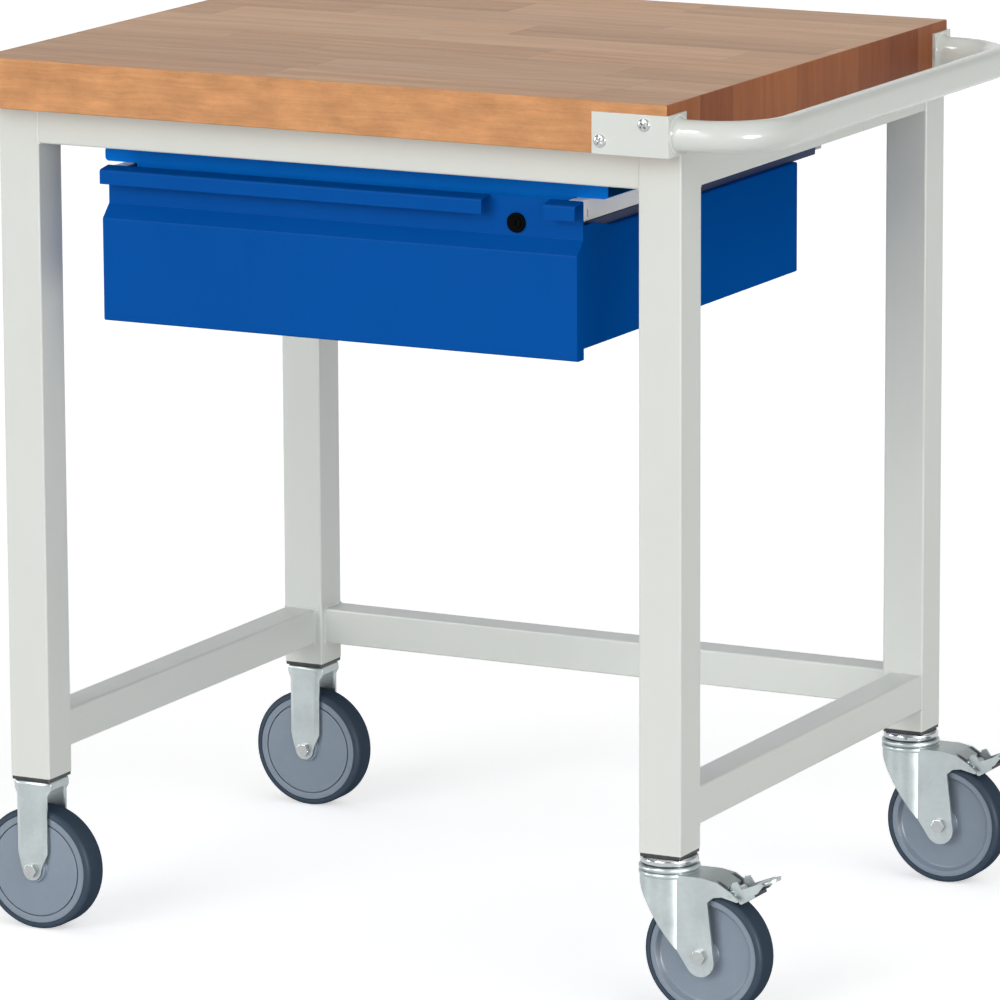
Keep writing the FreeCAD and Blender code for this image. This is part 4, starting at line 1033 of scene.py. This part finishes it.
# Hem of the drawer's cover: the folded strip that shows behind the lip, clear of tray and runners
def cover_hem():
    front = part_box("drawer_cover")[0].y
    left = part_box("drawer_runner_left")[1].x + HEM_END_GAP
    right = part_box("drawer_runner_right")[0].x - HEM_END_GAP
    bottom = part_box("drawer_tray")[1].z + HEM_CLEAR
    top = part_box("guide_rail_left")[1].z + HEM_SEAT - bottom
    fold = HEM_THICK / HEM_THICK_TO_FOLD
    corners = [(0.0, top, 0.0), (0.0, 0.0, fold), (HEM_THICK, 0.0, fold), (HEM_THICK, top, 0.0)]
    start = Vector(((left + right) / 2, front + HEM_SET_BACK, bottom))
    strip = slab("cover_hem", rounded_outline(corners), start, (right - left) / 2, "x")
    # The hem takes the cover's coat, written lighter as painted light for the shade behind the lip
    joined_on("cover_hem", strip, BODY_OF["drawer_cover"], "drawer_blue", look=COVER_COAT_PAINTED_LIGHT)


# Copies of CAD pieces with their edges rounded
def softened(node, width):
    bm = bmesh.new()
    bm.from_mesh(NODES[node].data)
    bmesh.ops.remove_doubles(bm, verts=bm.verts, dist=MERGE)
    bmesh.ops.dissolve_limit(bm, angle_limit=FLAT_ANGLE, verts=bm.verts, edges=bm.edges)
    holder = placed(node + "_edges", to_mesh(node + "_edges", bm))
    bevel = holder.modifiers.new("edges", "BEVEL")
    bevel.width = width
    bevel.segments = EDGE_STEPS
    bevel.limit_method = "ANGLE"
    bevel.angle_limit = SHARP_ANGLE
    bevel.use_clamp_overlap = True
    flat = holder.modifiers.new("flat_faces", "WEIGHTED_NORMAL")
    flat.keep_sharp = True
    mesh = evaluated_mesh(holder)
    bpy.data.objects.remove(holder)
    joined_on(node + "_softened", mesh, BODY_OF[node], SLOT_OF[node], [node], OWN_LOOKS.get(node))


def soft_edges():
    for node in NODES:
        for start, width in EDGE_ROUND.items():
            if start in node:
                softened(node, width)


push_handle()
frame_welds()
bracket_screw_heads()
wheels()
pedal_springs()
pedal_pieces()
cover_hem()
soft_edges()


# Stage: floor, sky, lamps and camera
def floor_material():
    material, tree = new_material("studio_floor")
    rays = put(tree, "ShaderNodeLightPath").outputs
    seen = maths(tree, "MAXIMUM", rays["Is Camera Ray"], rays["Is Glossy Ray"])
    seen = maths(tree, "MAXIMUM", seen, rays["Is Transmission Ray"])
    matt = put(tree, "ShaderNodeBsdfDiffuse", {"Color": (*FLOOR_WHITE, 1.0)})
    lift = put(tree, "ShaderNodeEmission", {"Strength": maths(tree, "MULTIPLY", seen, FLOOR_LIFT)})
    both = put(tree, "ShaderNodeAddShader", {0: matt.outputs[0], 1: lift.outputs[0]})
    put(tree, "ShaderNodeOutputMaterial", {"Surface": both.outputs[0]})
    return material


def studio_floor():
    mesh = bpy.data.meshes.new("studio_floor")
    corners = [(-FLOOR_REACH, -FLOOR_REACH, 0), (FLOOR_REACH, -FLOOR_REACH, 0),
               (FLOOR_REACH, FLOOR_REACH, 0), (-FLOOR_REACH, FLOOR_REACH, 0)]
    mesh.from_pydata(corners, [], [(0, 1, 2, 3)])
    mesh.materials.append(floor_material())
    plane = placed("studio_floor", mesh)


def sky():
    world = bpy.data.worlds.new("studio_sky")
    bpy.context.scene.world = world
    world.use_nodes = True
    tree = world.node_tree
    tree.nodes.clear()
    rays = put(tree, "ShaderNodeLightPath").outputs
    seen = maths(tree, "MAXIMUM", rays["Is Camera Ray"], rays["Is Transmission Ray"])
    way = put(tree, "ShaderNodeTexCoord").outputs["Generated"]
    ways = put(tree, "ShaderNodeSeparateXYZ", {0: way}).outputs
    mirrored_level = spread(tree, ways[1], *SKY_FRONT_TO_BACK, SKY_DARK, 1.0)
    band = spread(tree, ways[2], *SKY_BAND_RISE, 1.0, SKY_BAND)
    mirrored_level = maths(tree, "MINIMUM", mirrored_level, band)
    mirrored_level = maths(tree, "MAXIMUM", mirrored_level, spread(tree, ways[2], *SKY_OVERHEAD))
    mirrored_level = maths(tree, "MULTIPLY", rays["Is Glossy Ray"], mirrored_level)
    level = maths(tree, "MAXIMUM", SKY_LEVEL, mirrored_level)
    level = maths(tree, "MAXIMUM", level, seen)
    light = put(tree, "ShaderNodeBackground", {"Strength": level})
    light.inputs["Color"].default_value = (1.0, 1.0, 1.0, 1.0)
    put(tree, "ShaderNodeOutputWorld", {"Surface": light.outputs[0]})


def lamp(name, source, level, angle, mirrored_only=False):
    """A distant lamp; one that is mirrored only adds highlights and no light of its own."""
    data = bpy.data.lights.new(name, "SUN")
    data.energy = level
    data.angle = angle
    made = placed(name, data)
    made.rotation_euler = source.to_track_quat("Z", "Y").to_euler()
    made.visible_diffuse = not mirrored_only


def photo_camera():
    data = bpy.data.cameras.new("photo_camera")
    data.sensor_width = SENSOR_MM
    data.sensor_fit = "HORIZONTAL"
    data.lens = SENSOR_MM * FOCAL_PIXELS / IMAGE_PIXELS
    data.clip_end = VIEW_REACH
    ahead = Vector((-math.sin(VIEW_AZIMUTH) * math.cos(VIEW_ELEVATION),
                    math.cos(VIEW_AZIMUTH) * math.cos(VIEW_ELEVATION), -math.sin(VIEW_ELEVATION)))
    level = Vector((math.cos(VIEW_AZIMUTH), math.sin(VIEW_AZIMUTH), 0.0))
    above = level.cross(ahead)
    right = level * math.cos(VIEW_ROLL) + above * math.sin(VIEW_ROLL)
    up = above * math.cos(VIEW_ROLL) - level * math.sin(VIEW_ROLL)
    turn = Matrix((right, up, -ahead)).transposed().to_4x4()
    camera = placed("photo_camera", data)
    camera.matrix_world = Matrix.Translation(VIEW_TARGET - ahead * VIEW_DISTANCE) @ turn
    bpy.context.scene.camera = camera


studio_floor()
sky()
lamp("key_lamp", KEY_FROM, KEY_LEVEL, KEY_SPREAD)
lamp("fill_lamp", FILL_FROM, FILL_LEVEL, FILL_SPREAD)
for name, (source, level) in EDGE_LAMPS.items():
    lamp(name, source, level, EDGE_SPREAD, mirrored_only=True)
photo_camera()
bpy.context.scene.view_settings.view_transform = "Standard"
